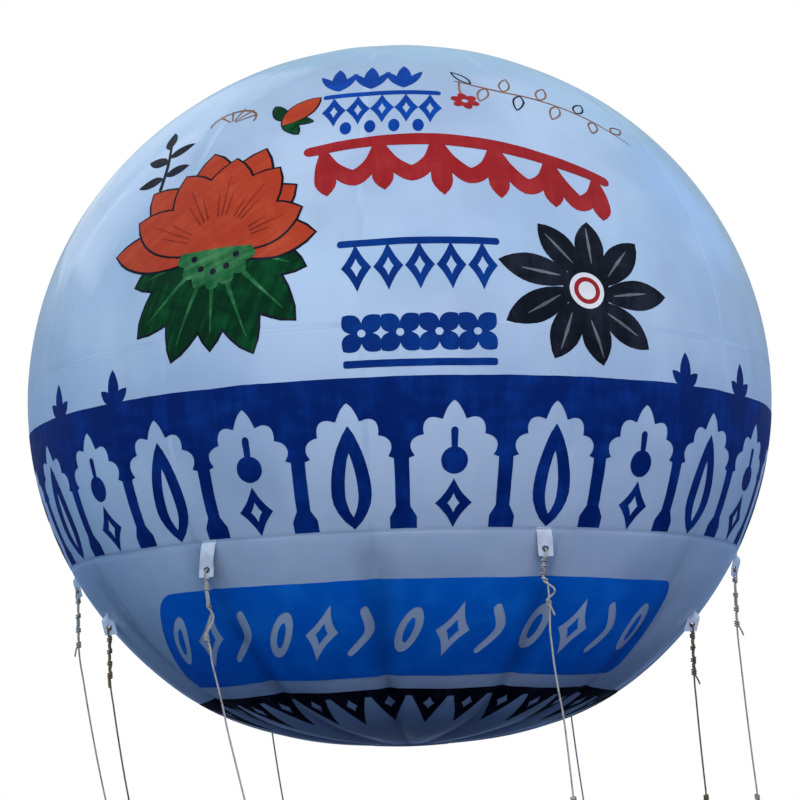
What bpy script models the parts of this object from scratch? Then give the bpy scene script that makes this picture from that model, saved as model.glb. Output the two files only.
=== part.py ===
"""Advertising sky balloon: a round film envelope of twelve gores with hanging rope tabs.

Metres, +Z up. The origin is the centre of the envelope, and the front of the balloon faces -Y.
Azimuth 0 is the front and grows towards +X. Latitude is the spheroid's own parameter: a point at
latitude t lies RADIUS * cos(t) from the axis and HALF_HEIGHT * sin(t) above the centre.
"""
import math

import bmesh
import bpy
from mathutils import Vector

# Envelope
RADIUS = 1.829
HALF_HEIGHT = 1.758
WALL = 0.010
GAP = 0.0003
GORES = 12
GORE_COLUMNS = 4
SEAM_AZIMUTH = math.radians(-5.0)
LOWER_SEAM = math.radians(-27.1)
UPPER_SEAM = math.radians(3.0)
CAP_EDGE = math.radians(85.0)
ROWS_BELOW = 7
ROWS_MIDDLE = 4
ROWS_ABOVE = 10

# Rope tabs: a folded strip, welded flat at its root, with a rolled eyelet near its free end
TAB_WIDTH = 0.075
TAB_THICKNESS = 0.003
TAB_PAD = 0.014
TAB_BEND_RADIUS = 0.012
TAB_BEND_STEPS = 3
TAB_BELOW_EYELET = 0.036
TAB_TWIST_LENGTH = 0.034
TAB_TWIST_STEPS = 3

# Eyelets
BORE_RADIUS = 0.0095
BARREL_RADIUS = 0.0104
FLANGE_RADIUS = 0.0165
FLANGE_THICKNESS = 0.0015
EYELET_SIDES = 12

# Ropes: each is looped through its eyelet, knotted double for a stretch, then runs single
ROPE_RADIUS = 0.0045
DOUBLED_RADIUS = 0.0075
KNOT_RADIUS = 0.0125
KNOT_HALF_LENGTH = 0.013
KNOTS = 4
ROPE_SIDES = 6
ROPE_PHASE = 0.19
LOOP_BEND = 0.0097
LOOP_DROP = 0.0030
LOOP_LENGTH = 0.044
FOOT_KNOT_HEIGHT = -1.990
FOOT_LOOP_BOTTOM = -2.095
FOOT_LOOP_HALF_WIDTH = 0.026

# Filling neck, tied off, low on the back
NECK_AZIMUTH = math.radians(171.25)
NECK_LATITUDE_ROW = 2
NECK_FLANGE_RADIUS = 0.068
NECK_FLANGE_THICKNESS = 0.003
NECK_RADIUS = 0.050
NECK_TIE_RADIUS = 0.016
NECK_SIDES = 12
TIE_CORD_RADIUS = 0.0035
TIE_TURNS = 3

# name, azimuth in degrees, rows below the lower seam, distance down that row's facet,
# length of the free hanging strip, its twist and its sideways lean in degrees,
# length of the doubled rope, and the single rope's lean in X and Y
TABS = [
    ("front_left", -32.8, 0, 0.002, 0.131, 0, -6, 0.280, 0.21, 0.00),
    ("front_right", 22.25, 0, 0.002, 0.096, 0, 10, 0.225, 0.10, 0.00),
    ("right", 88.75, 0, 0.002, 0.091, -30, 0, 0.240, 0.08, 0.05),
    ("rear_right", 148.75, 0, 0.002, 0.124, 0, 0, 0.240, 0.10, 0.06),
    ("rear_left", -151.25, 0, 0.002, 0.124, 0, 0, 0.240, 0.12, 0.06),
    ("left", -91.25, 0, 0.002, 0.091, 30, 0, 0.240, 0.16, 0.05),
    ("low_right", 73.7, 1, 0.094, 0.092, -45, 0, 0.200, 0.06, 0.03),
    ("low_left", -74.2, 1, 0.004, 0.092, 45, 0, 0.200, 0.14, 0.03),
]

FILM_COLOUR = (0.62, 0.71, 0.83)
PATCH_COLOUR = (0.66, 0.74, 0.84)
TAB_COLOUR = (0.80, 0.82, 0.86)
BRASS_COLOUR = (0.60, 0.50, 0.34)
ROPE_COLOUR = (0.74, 0.71, 0.62)
CORD_COLOUR = (0.55, 0.50, 0.40)

Z_AXIS = Vector((0, 0, 1))


def clear_scene():
    for item in list(bpy.data.objects):
        bpy.data.objects.remove(item, do_unlink=True)


def make_material(name, colour, roughness, metallic=0.0):
    material = bpy.data.materials.new(name)
    material.use_nodes = True
    shader = material.node_tree.nodes["Principled BSDF"]
    shader.inputs["Base Color"].default_value = (*colour, 1.0)
    shader.inputs["Roughness"].default_value = roughness
    shader.inputs["Metallic"].default_value = metallic
    return material


def add_object(name, mesh_data, colour, roughness, metallic=0.0):
    """Turn a bmesh into a named object with a material of its own."""
    bmesh.ops.recalc_face_normals(mesh_data, faces=mesh_data.faces)
    mesh = bpy.data.meshes.new(name)
    mesh_data.to_mesh(mesh)
    mesh_data.free()
    mesh.shade_smooth()
    mesh.set_sharp_from_angle(angle=math.radians(30))
    mesh.materials.append(make_material(name, colour, roughness, metallic))
    item = bpy.data.objects.new(name, mesh)
    bpy.context.scene.collection.objects.link(item)
    return item


def use_boolean(item, other, operation):
    """Cut or join another shape, which then stays behind as a hidden guide."""
    modifier = item.modifiers.new(operation.lower(), "BOOLEAN")
    modifier.object = other
    modifier.operation = operation
    modifier.solver = "EXACT"
    other.hide_render = True
    other.display_type = "WIRE"


def outward(azimuth):
    return Vector((math.sin(azimuth), -math.cos(azimuth), 0))


def sideways(azimuth):
    return Vector((math.cos(azimuth), math.sin(azimuth), 0))


def envelope_point(azimuth, latitude, depth=0.0):
    """A point of the envelope, or one that lies depth below its surface."""
    across = RADIUS * math.cos(latitude)
    up = HALF_HEIGHT * math.sin(latitude)
    normal = Vector((math.cos(latitude) / RADIUS, math.sin(latitude) / HALF_HEIGHT)).normalized()
    return outward(azimuth) * (across - depth * normal.x) + Z_AXIS * (up - depth * normal.y)


def row_latitudes():
    """The rows' latitudes, lowest first, with the two weld seams on rows of their own."""
    below = [-CAP_EDGE + (LOWER_SEAM + CAP_EDGE) * i / ROWS_BELOW for i in range(ROWS_BELOW)]
    middle = [LOWER_SEAM + (UPPER_SEAM - LOWER_SEAM) * i / ROWS_MIDDLE for i in range(ROWS_MIDDLE)]
    above = [UPPER_SEAM + (CAP_EDGE - UPPER_SEAM) * i / ROWS_ABOVE for i in range(ROWS_ABOVE + 1)]
    return below + middle + above


def close_strips(mesh_data, rings, closed_profile=True, closed_path=False):
    """Join rings of vertices with quads, and cap the two ends unless the path is closed."""
    count = len(rings[0])
    pairs = list(zip(rings, rings[1:]))
    if closed_path:
        pairs.append((rings[-1], rings[0]))
    for first, second in pairs:
        for i in range(count if closed_profile else count - 1):
            j = (i + 1) % count
            mesh_data.faces.new((first[i], first[j], second[j], second[i]))
    if not closed_path:
        mesh_data.faces.new(rings[0])
        mesh_data.faces.new(list(reversed(rings[-1])))


def make_gore(index):
    """One gore: a wall of facets between two vertical seams, with a hair's gap at each seam."""
    width = math.tau / GORES
    start = SEAM_AZIMUTH + index * width
    mesh_data = bmesh.new()
    rings = []
    for latitude in row_latitudes():
        outer = []
        inner = []
        for column in range(GORE_COLUMNS + 1):
            azimuth = start + width * column / GORE_COLUMNS
            shift = Vector((0, 0, 0))
            if column == 0:
                shift = sideways(azimuth) * GAP / 2
            if column == GORE_COLUMNS:
                shift = sideways(azimuth) * -GAP / 2
            outer.append(mesh_data.verts.new(envelope_point(azimuth, latitude) + shift))
            inner.append(mesh_data.verts.new(envelope_point(azimuth, latitude, WALL) + shift))
        rings.append((outer, inner))
    for (outer_a, inner_a), (outer_b, inner_b) in zip(rings, rings[1:]):
        for i in range(GORE_COLUMNS):
            mesh_data.faces.new((outer_a[i], outer_a[i + 1], outer_b[i + 1], outer_b[i]))
            mesh_data.faces.new((inner_a[i], inner_b[i], inner_b[i + 1], inner_a[i + 1]))
        mesh_data.faces.new((outer_a[0], outer_b[0], inner_b[0], inner_a[0]))
        mesh_data.faces.new((outer_a[-1], inner_a[-1], inner_b[-1], outer_b[-1]))
    for outer, inner in (rings[0], rings[-1]):
        for i in range(GORE_COLUMNS):
            mesh_data.faces.new((outer[i], inner[i], inner[i + 1], outer[i + 1]))
    return add_object(f"gore_{index + 1:02d}", mesh_data, FILM_COLOUR, 0.25)


def make_cap(name, sign):
    """The round patch that closes the gores' tips, flush with them."""
    columns = GORES * GORE_COLUMNS
    edge = sign * (CAP_EDGE + GAP / RADIUS)
    mesh_data = bmesh.new()
    outer = []
    inner = []
    for i in range(columns):
        azimuth = SEAM_AZIMUTH + math.tau * i / columns
        outer.append(mesh_data.verts.new(envelope_point(azimuth, edge)))
        inner.append(mesh_data.verts.new(envelope_point(azimuth, edge, WALL)))
    outer_pole = mesh_data.verts.new(Z_AXIS * sign * HALF_HEIGHT)
    inner_pole = mesh_data.verts.new(Z_AXIS * sign * (HALF_HEIGHT - WALL))
    for i in range(columns):
        j = (i + 1) % columns
        mesh_data.faces.new((outer[i], outer[j], outer_pole))
        mesh_data.faces.new((inner[j], inner[i], inner_pole))
        mesh_data.faces.new((outer[j], outer[i], inner[i], inner[j]))
    return add_object(name, mesh_data, PATCH_COLOUR, 0.3)


class Facet:
    """The flat facet of the envelope under one tab or neck, with its own three directions."""

    def __init__(self, azimuth, top_latitude, bottom_latitude):
        column = math.tau / GORES / GORE_COLUMNS
        number = math.floor((azimuth - SEAM_AZIMUTH) / column)
        self.azimuth = SEAM_AZIMUTH + (number + 0.5) * column
        chord = math.cos(column / 2)
        self.top = self.edge_point(top_latitude, chord)
        bottom = self.edge_point(bottom_latitude, chord)
        self.length = (bottom - self.top).length
        self.down = (bottom - self.top).normalized()
        self.side = sideways(self.azimuth)
        self.normal = self.down.cross(self.side).normalized()
        if self.normal.dot(outward(self.azimuth)) < 0:
            self.normal.negate()

    def edge_point(self, latitude, chord):
        across = RADIUS * math.cos(latitude) * chord
        return outward(self.azimuth) * across + Z_AXIS * HALF_HEIGHT * math.sin(latitude)

    def point(self, down, side=0.0, lift=0.0):
        return self.top + self.down * down + self.side * side + self.normal * lift


def facet_below_seam(azimuth, row):
    """The facet that lies the given number of rows below the lower weld seam."""
    step = (LOWER_SEAM + CAP_EDGE) / ROWS_BELOW
    top = LOWER_SEAM - row * step
    return Facet(azimuth, top, top - step)


class Tab:
    """The places of one tab: its strip's middle line and its eyelet."""

    def __init__(self, azimuth, row, start, free_length, twist, lean):
        facet = facet_below_seam(azimuth, row)
        shift = (azimuth - facet.azimuth) * facet.top.xy.length
        lift = GAP + TAB_THICKNESS / 2
        self.down = -Z_AXIS
        turn = math.acos(facet.down.dot(self.down))
        pad_end = facet.point(start + TAB_PAD, shift, lift)
        centre = pad_end + facet.normal * TAB_BEND_RADIUS
        self.line = [(facet.point(start, shift, lift), facet.normal, facet.side)]
        for i in range(TAB_BEND_STEPS + 1):
            angle = turn * i / TAB_BEND_STEPS
            normal = facet.normal * math.cos(angle) - facet.down * math.sin(angle)
            self.line.append((centre - normal * TAB_BEND_RADIUS, normal, facet.side))
        bend_end = self.line[-1][0]
        steps = TAB_TWIST_STEPS if twist else 0
        for i in range(1, steps + 1):
            turned_face, turned_side = self.turned_about_z(facet.azimuth, twist * i / steps)
            point = bend_end + self.down * TAB_TWIST_LENGTH * i / steps
            self.line.append((point, turned_face, turned_side))
        self.face, self.side = self.turned_about_z(facet.azimuth, twist)
        run = self.down + self.side * math.tan(lean)
        self.line.append((bend_end + run * free_length, self.face, self.side))
        self.eyelet = bend_end + run * (free_length - TAB_BELOW_EYELET)

    @staticmethod
    def turned_about_z(azimuth, twist):
        return outward(azimuth + twist), sideways(azimuth + twist)


def make_tab(name, tab):
    mesh_data = bmesh.new()
    rings = []
    for point, normal, side in tab.line:
        corners = ((-1, -1), (1, -1), (1, 1), (-1, 1))
        rings.append([mesh_data.verts.new(point + side * across * TAB_WIDTH / 2
                                          + normal * through * TAB_THICKNESS / 2)
                      for across, through in corners])
    close_strips(mesh_data, rings)
    bmesh.ops.triangulate(mesh_data, faces=mesh_data.faces)
    item = add_object(f"tab_{name}", mesh_data, TAB_COLOUR, 0.4)
    hole_radius = BARREL_RADIUS + GAP / math.cos(math.pi / EYELET_SIDES) + 0.00005
    reach = TAB_THICKNESS * 2
    cutter = turned(f"cutter_{name}", [(0, -reach), (hole_radius, -reach), (hole_radius, reach), (0, reach)],
                    tab.eyelet, tab.face, tab.down, EYELET_SIDES, TAB_COLOUR, 0.5)
    use_boolean(item, cutter, "DIFFERENCE")


def turned(name, profile, origin, axis, zero, sides, colour, roughness, metallic=0.0):
    """Turn a closed profile of (radius, height) about an axis; radius 0 at both ends is a solid."""
    across = axis.cross(zero).normalized()
    mesh_data = bmesh.new()
    solid = profile[0][0] == 0
    turning = profile[1:-1] if solid else profile
    rings = []
    for i in range(sides):
        angle = math.tau * i / sides
        direction = zero * math.cos(angle) + across * math.sin(angle)
        rings.append([mesh_data.verts.new(origin + direction * r + axis * h) for r, h in turning])
    for i in range(sides):
        first = rings[i]
        second = rings[(i + 1) % sides]
        for j in range(len(turning) - 1 if solid else len(turning)):
            k = (j + 1) % len(turning)
            mesh_data.faces.new((first[j], first[k], second[k], second[j]))
    if solid:
        mesh_data.faces.new([ring[0] for ring in rings])
        mesh_data.faces.new([ring[-1] for ring in reversed(rings)])
    return add_object(name, mesh_data, colour, roughness, metallic)


def make_eyelet(name, tab):
    """A rolled eyelet: a barrel through the tab with a flange on each face."""
    inside = TAB_THICKNESS / 2 + GAP
    outside = inside + FLANGE_THICKNESS
    profile = [
        (BORE_RADIUS, -outside),
        (FLANGE_RADIUS, -outside),
        (FLANGE_RADIUS, -inside),
        (BARREL_RADIUS, -inside),
        (BARREL_RADIUS, inside),
        (FLANGE_RADIUS, inside),
        (FLANGE_RADIUS, outside),
        (BORE_RADIUS, outside),
    ]
    turned(f"eyelet_{name}", profile, tab.eyelet, tab.face, tab.down, EYELET_SIDES,
           BRASS_COLOUR, 0.35, 1.0)


def tube_mesh(path, radii, side, sides, closed=False, phase=0.5):
    """A tube along a path with a radius for each point; side and phase place the rings' corners."""
    mesh_data = bmesh.new()
    rings = []
    last = len(path) - 1
    for i, point in enumerate(path):
        before = path[i - 1] if i > 0 or closed else path[i]
        after = path[(i + 1) % len(path)] if i < last or closed else path[i]
        tangent = (after - before).normalized()
        first = (side - tangent * side.dot(tangent)).normalized()
        second = tangent.cross(first)
        ring = []
        for j in range(sides):
            angle = math.tau * (j + phase) / sides
            offset = first * math.cos(angle) + second * math.sin(angle)
            ring.append(mesh_data.verts.new(point + offset * radii[i]))
        rings.append(ring)
    close_strips(mesh_data, rings, closed_path=closed)
    return mesh_data


def arc(centre, first, second, radius, start, end, steps):
    """Points of an arc from start to end, with first at angle 0 and second at a right angle."""
    points = []
    for i in range(steps + 1):
        angle = start + (end - start) * i / steps
        points.append(centre + first * math.cos(angle) * radius + second * math.sin(angle) * radius)
    return points


def eyelet_loop(tab):
    """The rope's loop through the eyelet and round the tab's end, down into the first knot."""
    centre = tab.eyelet + tab.down * (BORE_RADIUS + LOOP_DROP)
    path = arc(centre, tab.face, -tab.down, LOOP_BEND, 0, math.pi, 8)
    for across, down in ((-1.0, 0.4), (-0.85, 0.62), (-0.35, 1.0), (0.35, 1.0), (0.85, 0.62), (1.0, 0.4)):
        path.append(centre + tab.face * across * LOOP_BEND + tab.down * down * LOOP_LENGTH)
    return path


def foot_loop(foot, side):
    """The tie loop at the rope's lower end, ready for a peg."""
    radius = FOOT_LOOP_HALF_WIDTH
    centre = Vector((foot.x, foot.y, FOOT_LOOP_BOTTOM + ROPE_RADIUS + radius))
    path = arc(centre, side, -Z_AXIS, radius, 0, math.pi, 6)
    for across, rise in ((-0.75, 0.55), (-0.25, 1.0), (0.25, 1.0), (0.75, 0.55)):
        path.append(centre + side * across * radius + Z_AXIS * rise * (foot.z - centre.z))
    return path


def rope_stations(start, doubled, lean):
    """Points and radii down one rope: its chain of knots, the single run and the foot's knot."""
    path = []
    radii = []
    spacing = (doubled - 2 * KNOT_HALF_LENGTH) / (KNOTS - 1)
    for i in range(KNOTS):
        centre = start - Z_AXIS * (KNOT_HALF_LENGTH + spacing * i)
        for step, radius in ((-1, DOUBLED_RADIUS), (0, KNOT_RADIUS), (1, DOUBLED_RADIUS)):
            path.append(centre - Z_AXIS * step * KNOT_HALF_LENGTH)
            radii.append(radius)
    single_top = path[-1] - Z_AXIS * KNOT_HALF_LENGTH
    height = single_top.z - (FOOT_KNOT_HEIGHT + 2 * KNOT_HALF_LENGTH)
    runs = 5
    for i in range(runs + 1):
        part = i / runs
        bow = 0.75 * part + 0.25 * part * part
        path.append(single_top + lean * height * bow - Z_AXIS * height * part)
        radii.append(ROPE_RADIUS)
    foot = Vector((path[-1].x, path[-1].y, FOOT_KNOT_HEIGHT))
    for step, radius in ((-1, DOUBLED_RADIUS), (0, KNOT_RADIUS), (1, DOUBLED_RADIUS)):
        path.append(foot - Z_AXIS * step * KNOT_HALF_LENGTH)
        radii.append(radius)
    return path, radii, foot


def make_rope(name, tab, doubled, lean):
    start = tab.eyelet + tab.down * (BORE_RADIUS + LOOP_DROP + LOOP_LENGTH - KNOT_HALF_LENGTH)
    path, radii, foot = rope_stations(start, doubled, lean)
    run = tube_mesh(path, radii, tab.side, ROPE_SIDES, phase=ROPE_PHASE)
    rope = add_object(f"rope_{name}", run, ROPE_COLOUR, 0.8)
    loop = eyelet_loop(tab)
    upper = tube_mesh(loop, [ROPE_RADIUS] * len(loop), tab.side, ROPE_SIDES, closed=True)
    use_boolean(rope, add_object(f"guide_loop_{name}", upper, ROPE_COLOUR, 0.8), "UNION")
    loop = foot_loop(foot, tab.side)
    lower = tube_mesh(loop, [ROPE_RADIUS] * len(loop), tab.face, ROPE_SIDES, closed=True)
    use_boolean(rope, add_object(f"guide_foot_{name}", lower, ROPE_COLOUR, 0.8), "UNION")


def make_neck():
    """The filling neck hangs from a welded flange and is gathered and tied off."""
    facet = facet_below_seam(NECK_AZIMUTH, NECK_LATITUDE_ROW)
    centre = facet.length / 2
    root = facet.point(centre, 0, GAP)
    flange_top = root + facet.normal * NECK_FLANGE_THICKNESS
    bend = root + facet.normal * NECK_RADIUS * 1.5
    line = [root, flange_top, flange_top + facet.normal * 0.0005, bend]
    radii = [NECK_FLANGE_RADIUS, NECK_FLANGE_RADIUS, NECK_RADIUS, NECK_RADIUS]
    for drop, out, radius in ((0.035, 0.022, 0.048), (0.080, 0.030, 0.038), (0.115, 0.030, NECK_TIE_RADIUS),
                              (0.140, 0.030, NECK_TIE_RADIUS), (0.170, 0.030, 0.030), (0.215, 0.030, 0.040)):
        line.append(bend - Z_AXIS * drop + outward(facet.azimuth) * out)
        radii.append(radius)
    neck = tube_mesh(line, radii, facet.side, NECK_SIDES)
    add_object("filling_neck", neck, PATCH_COLOUR, 0.3)
    middle = (line[6] + line[7]) / 2
    pitch = TIE_CORD_RADIUS * 2
    inner = NECK_TIE_RADIUS + GAP
    half = pitch * TIE_TURNS / 2
    profile = [(inner, -half), (inner + TIE_CORD_RADIUS, -half)]
    for turn in range(TIE_TURNS):
        low = -half + pitch * turn
        profile.append((inner + pitch, low + pitch / 2))
        profile.append((inner + TIE_CORD_RADIUS, low + pitch))
    profile.append((inner, half))
    start_angle = (facet.side * math.cos(math.pi / NECK_SIDES)
                   + Z_AXIS.cross(facet.side) * math.sin(math.pi / NECK_SIDES))
    turned("neck_tie", profile, middle, Z_AXIS, start_angle, NECK_SIDES, CORD_COLOUR, 0.85)


def build():
    clear_scene()
    for index in range(GORES):
        make_gore(index)
    make_cap("top_cap", 1)
    make_cap("bottom_cap", -1)
    for name, azimuth, row, start, free_length, twist, lean, doubled, lean_x, lean_y in TABS:
        tab = Tab(math.radians(azimuth), row, start, free_length, math.radians(twist), math.radians(lean))
        make_tab(name, tab)
        make_eyelet(name, tab)
        make_rope(name, tab, doubled, Vector((lean_x, lean_y, 0)))
    make_neck()


build()
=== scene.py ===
"""Looks of the sky balloon: painted film, welds, rope tabs, eyelets, tether ropes and neck."""
import math
from math import ceil, cos, hypot, pi, radians, sin, tau

import bpy
from mathutils import Matrix, Vector
from mathutils.bvhtree import BVHTree
from mathutils.geometry import delaunay_2d_cdt


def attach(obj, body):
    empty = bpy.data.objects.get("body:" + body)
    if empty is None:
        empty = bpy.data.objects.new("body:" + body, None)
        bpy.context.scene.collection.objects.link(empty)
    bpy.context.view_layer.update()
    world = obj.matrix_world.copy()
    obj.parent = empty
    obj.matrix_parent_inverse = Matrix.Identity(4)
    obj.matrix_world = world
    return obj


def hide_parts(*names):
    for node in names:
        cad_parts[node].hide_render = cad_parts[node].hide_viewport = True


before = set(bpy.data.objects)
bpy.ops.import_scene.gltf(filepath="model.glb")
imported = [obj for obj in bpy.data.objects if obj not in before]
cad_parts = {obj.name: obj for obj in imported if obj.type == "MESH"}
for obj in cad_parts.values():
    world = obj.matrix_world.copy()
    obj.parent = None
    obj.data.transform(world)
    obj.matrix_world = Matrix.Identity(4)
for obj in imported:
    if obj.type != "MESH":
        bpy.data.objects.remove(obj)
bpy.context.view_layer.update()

# Envelope, as in the part's source; lengths in metres, angles in radians
RADIUS = 1.829
HALF_HEIGHT = 1.758
GORES = 12
GORE_WIDTH = tau / GORES
FACET_WIDTH = GORE_WIDTH / 4
SEAM_AZIMUTH = radians(-5.0)
LOWER_SEAM = radians(-27.1)
LOWER_SEAM_HEIGHT = HALF_HEIGHT * sin(LOWER_SEAM)
UPPER_SEAM = radians(3.0)
CAP_EDGE = radians(85.0)
ROW_STEP = (LOWER_SEAM + CAP_EDGE) / 7
CIRCUMFERENCE = tau * RADIUS

# Film relief between and at the welds
FILM_THICKNESS = 0.0015
BULGE = 0.005
SLACK_ABOVE = 0.005
SLACK_BELOW = 0.012
BOTTOM_SINK = 0.066
VALLEY_ABOVE = 0.0010
VALLEY_BELOW = 0.0085
VALLEY_WIDTH = 0.030
GROOVE = 0.0022
GROOVE_WIDTH = 0.012
WELD_WIDTH = 0.028
LEVEL_WELD_HALF = 0.012
LEVEL_WELD_STEP = 0.007
WELD_LIFT = 0.0005
WELD_INSET = 0.01
WELD_WALL = 0.0004
LEVEL_WELD_LIFT = WELD_LIFT + 0.0003
LEAST_LEVEL = 0.30
CAP_RADIUS = 0.190
CAP_LIFT = 0.0014
CAP_WALL = 0.0024
GORE_STEPS = 26
ROW_LENGTH = 0.042
FINE_ROW_LENGTH = 0.006
FINE_ROWS_REACH = 0.030
PAINT_LIFT = 0.0012
LAYER_LIFT = 0.0004
PAINT_WALL = 0.0003
PAINT_STEP = 0.028
FINE_STEP = 0.020
FREE_HAND = 0.0045
STEADY_HAND = 0.003
FINE_HAND = 0.002

# Rope tabs, eyelets and ropes, as in the part's source
TAB_WIDTH = 0.075
TAB_THICKNESS = 0.003
TAB_PAD = 0.014
TAB_BEND_RADIUS = 0.012
TAB_BELOW_EYELET = 0.036
TAB_TWIST_LENGTH = 0.034
TAB_RISE = 0.012
BORE_RADIUS = 0.0095
FLANGE_RADIUS = 0.0165
ROPE_RADIUS = 0.0045
LOOP_BEND = 0.0097
LOOP_DROP = 0.0030
LOOP_LENGTH = 0.044
FOOT_KNOT_HEIGHT = -1.990
FOOT_LOOP_BOTTOM = -2.095
FOOT_LOOP_HALF_WIDTH = 0.026

# Their finer make
STRIP_WELD = 0.007
STRIP_BEND = 0.005
STRIP_LIFT = 0.0016
STRIP_STEP = 0.0045
PLY_INSET = 0.002
PLY = 0.0013
PLY_LIFT = 0.00075
HOLE_MARGIN = 0.0012
KNOT_TURNS = (2.25, 1.75, 2.25, 2.75)
FOOT_TURNS = 3
KNOT_HALF_LENGTH = 0.013
TURN_HALF_PITCH = 0.0052
LANE = 0.0047
COIL = 0.0094
TURN_STEPS = 26
FOOT_HALF_PITCH = 0.0048
LAY_LENGTH = 0.030
LAY_STEP = 0.0028
LINE_STEP = 0.003
HITCH_TILT = 0.0016
RIM_DOME = 0.0018
WASHER_DOME = 0.0011
RIM_SIDES = 48

Z_AXIS = Vector((0, 0, 1))


def srgb(red, green, blue):
    """A linear colour from the usual 0 to 255 values."""
    shares = (value / 255 for value in (red, green, blue))
    return tuple(s / 12.92 if s <= 0.04045 else ((s + 0.055) / 1.055) ** 2.4 for s in shares) + (1.0,)


FILM = srgb(186, 211, 240)
FILM_SHADE = srgb(166, 192, 224)
FILM_DIRT = srgb(120, 122, 120)
# Colours of the painted shade at the slack folds of the upright seams: on film and welds, and on enamel
FILM_FOLD_SHADE = srgb(70, 88, 116)
ENAMEL_FOLD_SHADE = srgb(0, 10, 26)
ENAMEL_ROUGHNESS = 0.50


class Wire:
    """One output of a node. Sums on it add Math nodes to its tree."""

    def __init__(self, graph, socket):
        self.graph = graph
        self.socket = socket

    def other(self, name):
        """Another output of the same node."""
        return Wire(self.graph, found(self.socket.node.outputs, name))


def add_operator(name, operation):
    """Give Wire an operator and its reflected form."""
    setattr(Wire, f"__{name}__", lambda self, value: self.graph.maths(operation, self, value))
    setattr(Wire, f"__r{name}__", lambda self, value: self.graph.maths(operation, value, self))


for operator in (("add", "ADD"), ("sub", "SUBTRACT"), ("mul", "MULTIPLY"), ("truediv", "DIVIDE"),
                 ("pow", "POWER")):
    add_operator(*operator)


def found(sockets, key):
    """A socket by its number, its identifier or its name."""
    if isinstance(key, int):
        return sockets[key]
    for socket in sockets:
        if socket.identifier == key:
            return socket
    return sockets[key]


class Graph:
    """Adds nodes to a node tree: their settings first, then their values and links."""

    def __init__(self, tree):
        self.tree = tree

    def node(self, kind, sockets=None, out=0, stops=(), **settings):
        made = self.tree.nodes.new(kind)
        for name, value in settings.items():
            setattr(made, name, value)
        if stops:
            elements = made.color_ramp.elements
            while len(elements) < len(stops):
                elements.new(1.0)
            for element, (place, colour) in zip(elements, stops):
                element.position = place
                element.color = colour
        for key, value in (sockets or {}).items():
            socket = found(made.inputs, key)
            if isinstance(value, Wire):
                self.tree.links.new(value.socket, socket)
            else:
                socket.default_value = value
        return Wire(self, found(made.outputs, out)) if made.outputs else None

    def maths(self, operation, *values):
        return self.node("ShaderNodeMath", dict(enumerate(values)), operation=operation)

    def vector_maths(self, operation, *values):
        return self.node("ShaderNodeVectorMath", dict(enumerate(values)), operation=operation)

    def scaled(self, vector, scale):
        return self.node("ShaderNodeVectorMath", {0: vector, "Scale": scale}, operation="SCALE")

    def combined(self, x, y, z):
        return self.node("ShaderNodeCombineXYZ", {0: x, 1: y, 2: z})

    def separated(self, vector):
        parts = self.node("ShaderNodeSeparateXYZ", {0: vector})
        return parts, parts.other("Y"), parts.other("Z")

    def turned(self, vector, angle, axis="Z_AXIS"):
        return self.node("ShaderNodeVectorRotate", {"Vector": vector, "Angle": angle}, rotation_type=axis)

    def smooth_step(self, value, low, high, start=0.0, end=1.0):
        return self.node("ShaderNodeMapRange", {"Value": value, "From Min": low, "From Max": high,
                                                "To Min": start, "To Max": end},
                         interpolation_type="SMOOTHSTEP")

    def mixed(self, share, first, second):
        return self.node("ShaderNodeMix", {"Factor_Float": share, "A_Color": first, "B_Color": second},
                         "Result_Color", data_type="RGBA")

    def noise(self, place, scale, detail=2.0, roughness=0.5, out="Fac"):
        return self.node("ShaderNodeTexNoise", {"Vector": place, "Scale": scale, "Detail": detail,
                                                "Roughness": roughness}, out)


def outward(azimuth):
    return Vector((sin(azimuth), -cos(azimuth), 0))


def sideways(azimuth):
    return Vector((cos(azimuth), sin(azimuth), 0))


def surface_normal(azimuth, latitude):
    across = cos(latitude) / RADIUS
    up = sin(latitude) / HALF_HEIGHT
    return (outward(azimuth) * across + Z_AXIS * up).normalized()


def surface_point(azimuth, latitude):
    """A point of the smooth envelope."""
    return outward(azimuth) * RADIUS * cos(latitude) + Z_AXIS * HALF_HEIGHT * sin(latitude)


# Materials


class Finish(Graph):
    """A Principled material with its constant values set on the shader's own sockets."""

    def __init__(self, name, roughness, specular=0.5, metallic=0.0):
        self.material = bpy.data.materials.new(name)
        self.material.use_nodes = True
        super().__init__(self.material.node_tree)
        self.inputs = self.tree.nodes["Principled BSDF"].inputs
        for key, value in (("Roughness", roughness), ("Specular IOR Level", specular),
                           ("Metallic", metallic)):
            self.inputs[key].default_value = value
        self.place = self.node("ShaderNodeTexCoord", out="Object")

    def plan(self):
        """The place on the flat plan that the piece was cut from."""
        return self.node("ShaderNodeAttribute", out="Vector", attribute_name="plan")

    def plug(self, name, wire):
        self.tree.links.new(wire.socket, self.inputs[name])

    def bump(self, height, distance, strength=1.0):
        self.plug("Normal", self.node("ShaderNodeBump", {"Strength": strength, "Distance": distance,
                                                         "Height": height}))


def fold_shade(finish):
    """Painted shade: how dark the slack folds at the upright seams look below the lower weld, from 0 to 1.
    """
    x, y, z = finish.separated(finish.place)
    azimuth = finish.maths("ARCTAN2", x, y * -1.0)
    turn = finish.maths("FRACT", (azimuth - SEAM_AZIMUTH) / GORE_WIDTH + 8.0)
    near = finish.smooth_step(finish.maths("MINIMUM", turn, 1.0 - turn), 0.0, 0.16, 1.0, 0.0)
    slack = finish.smooth_step(z, LOWER_SEAM_HEIGHT + 0.12, LOWER_SEAM_HEIGHT - 0.16)
    uneven = finish.smooth_step(finish.noise(finish.place, 3.1, 2.0), 0.30, 0.62, 0.35, 1.0)
    return near * slack * uneven


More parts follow.
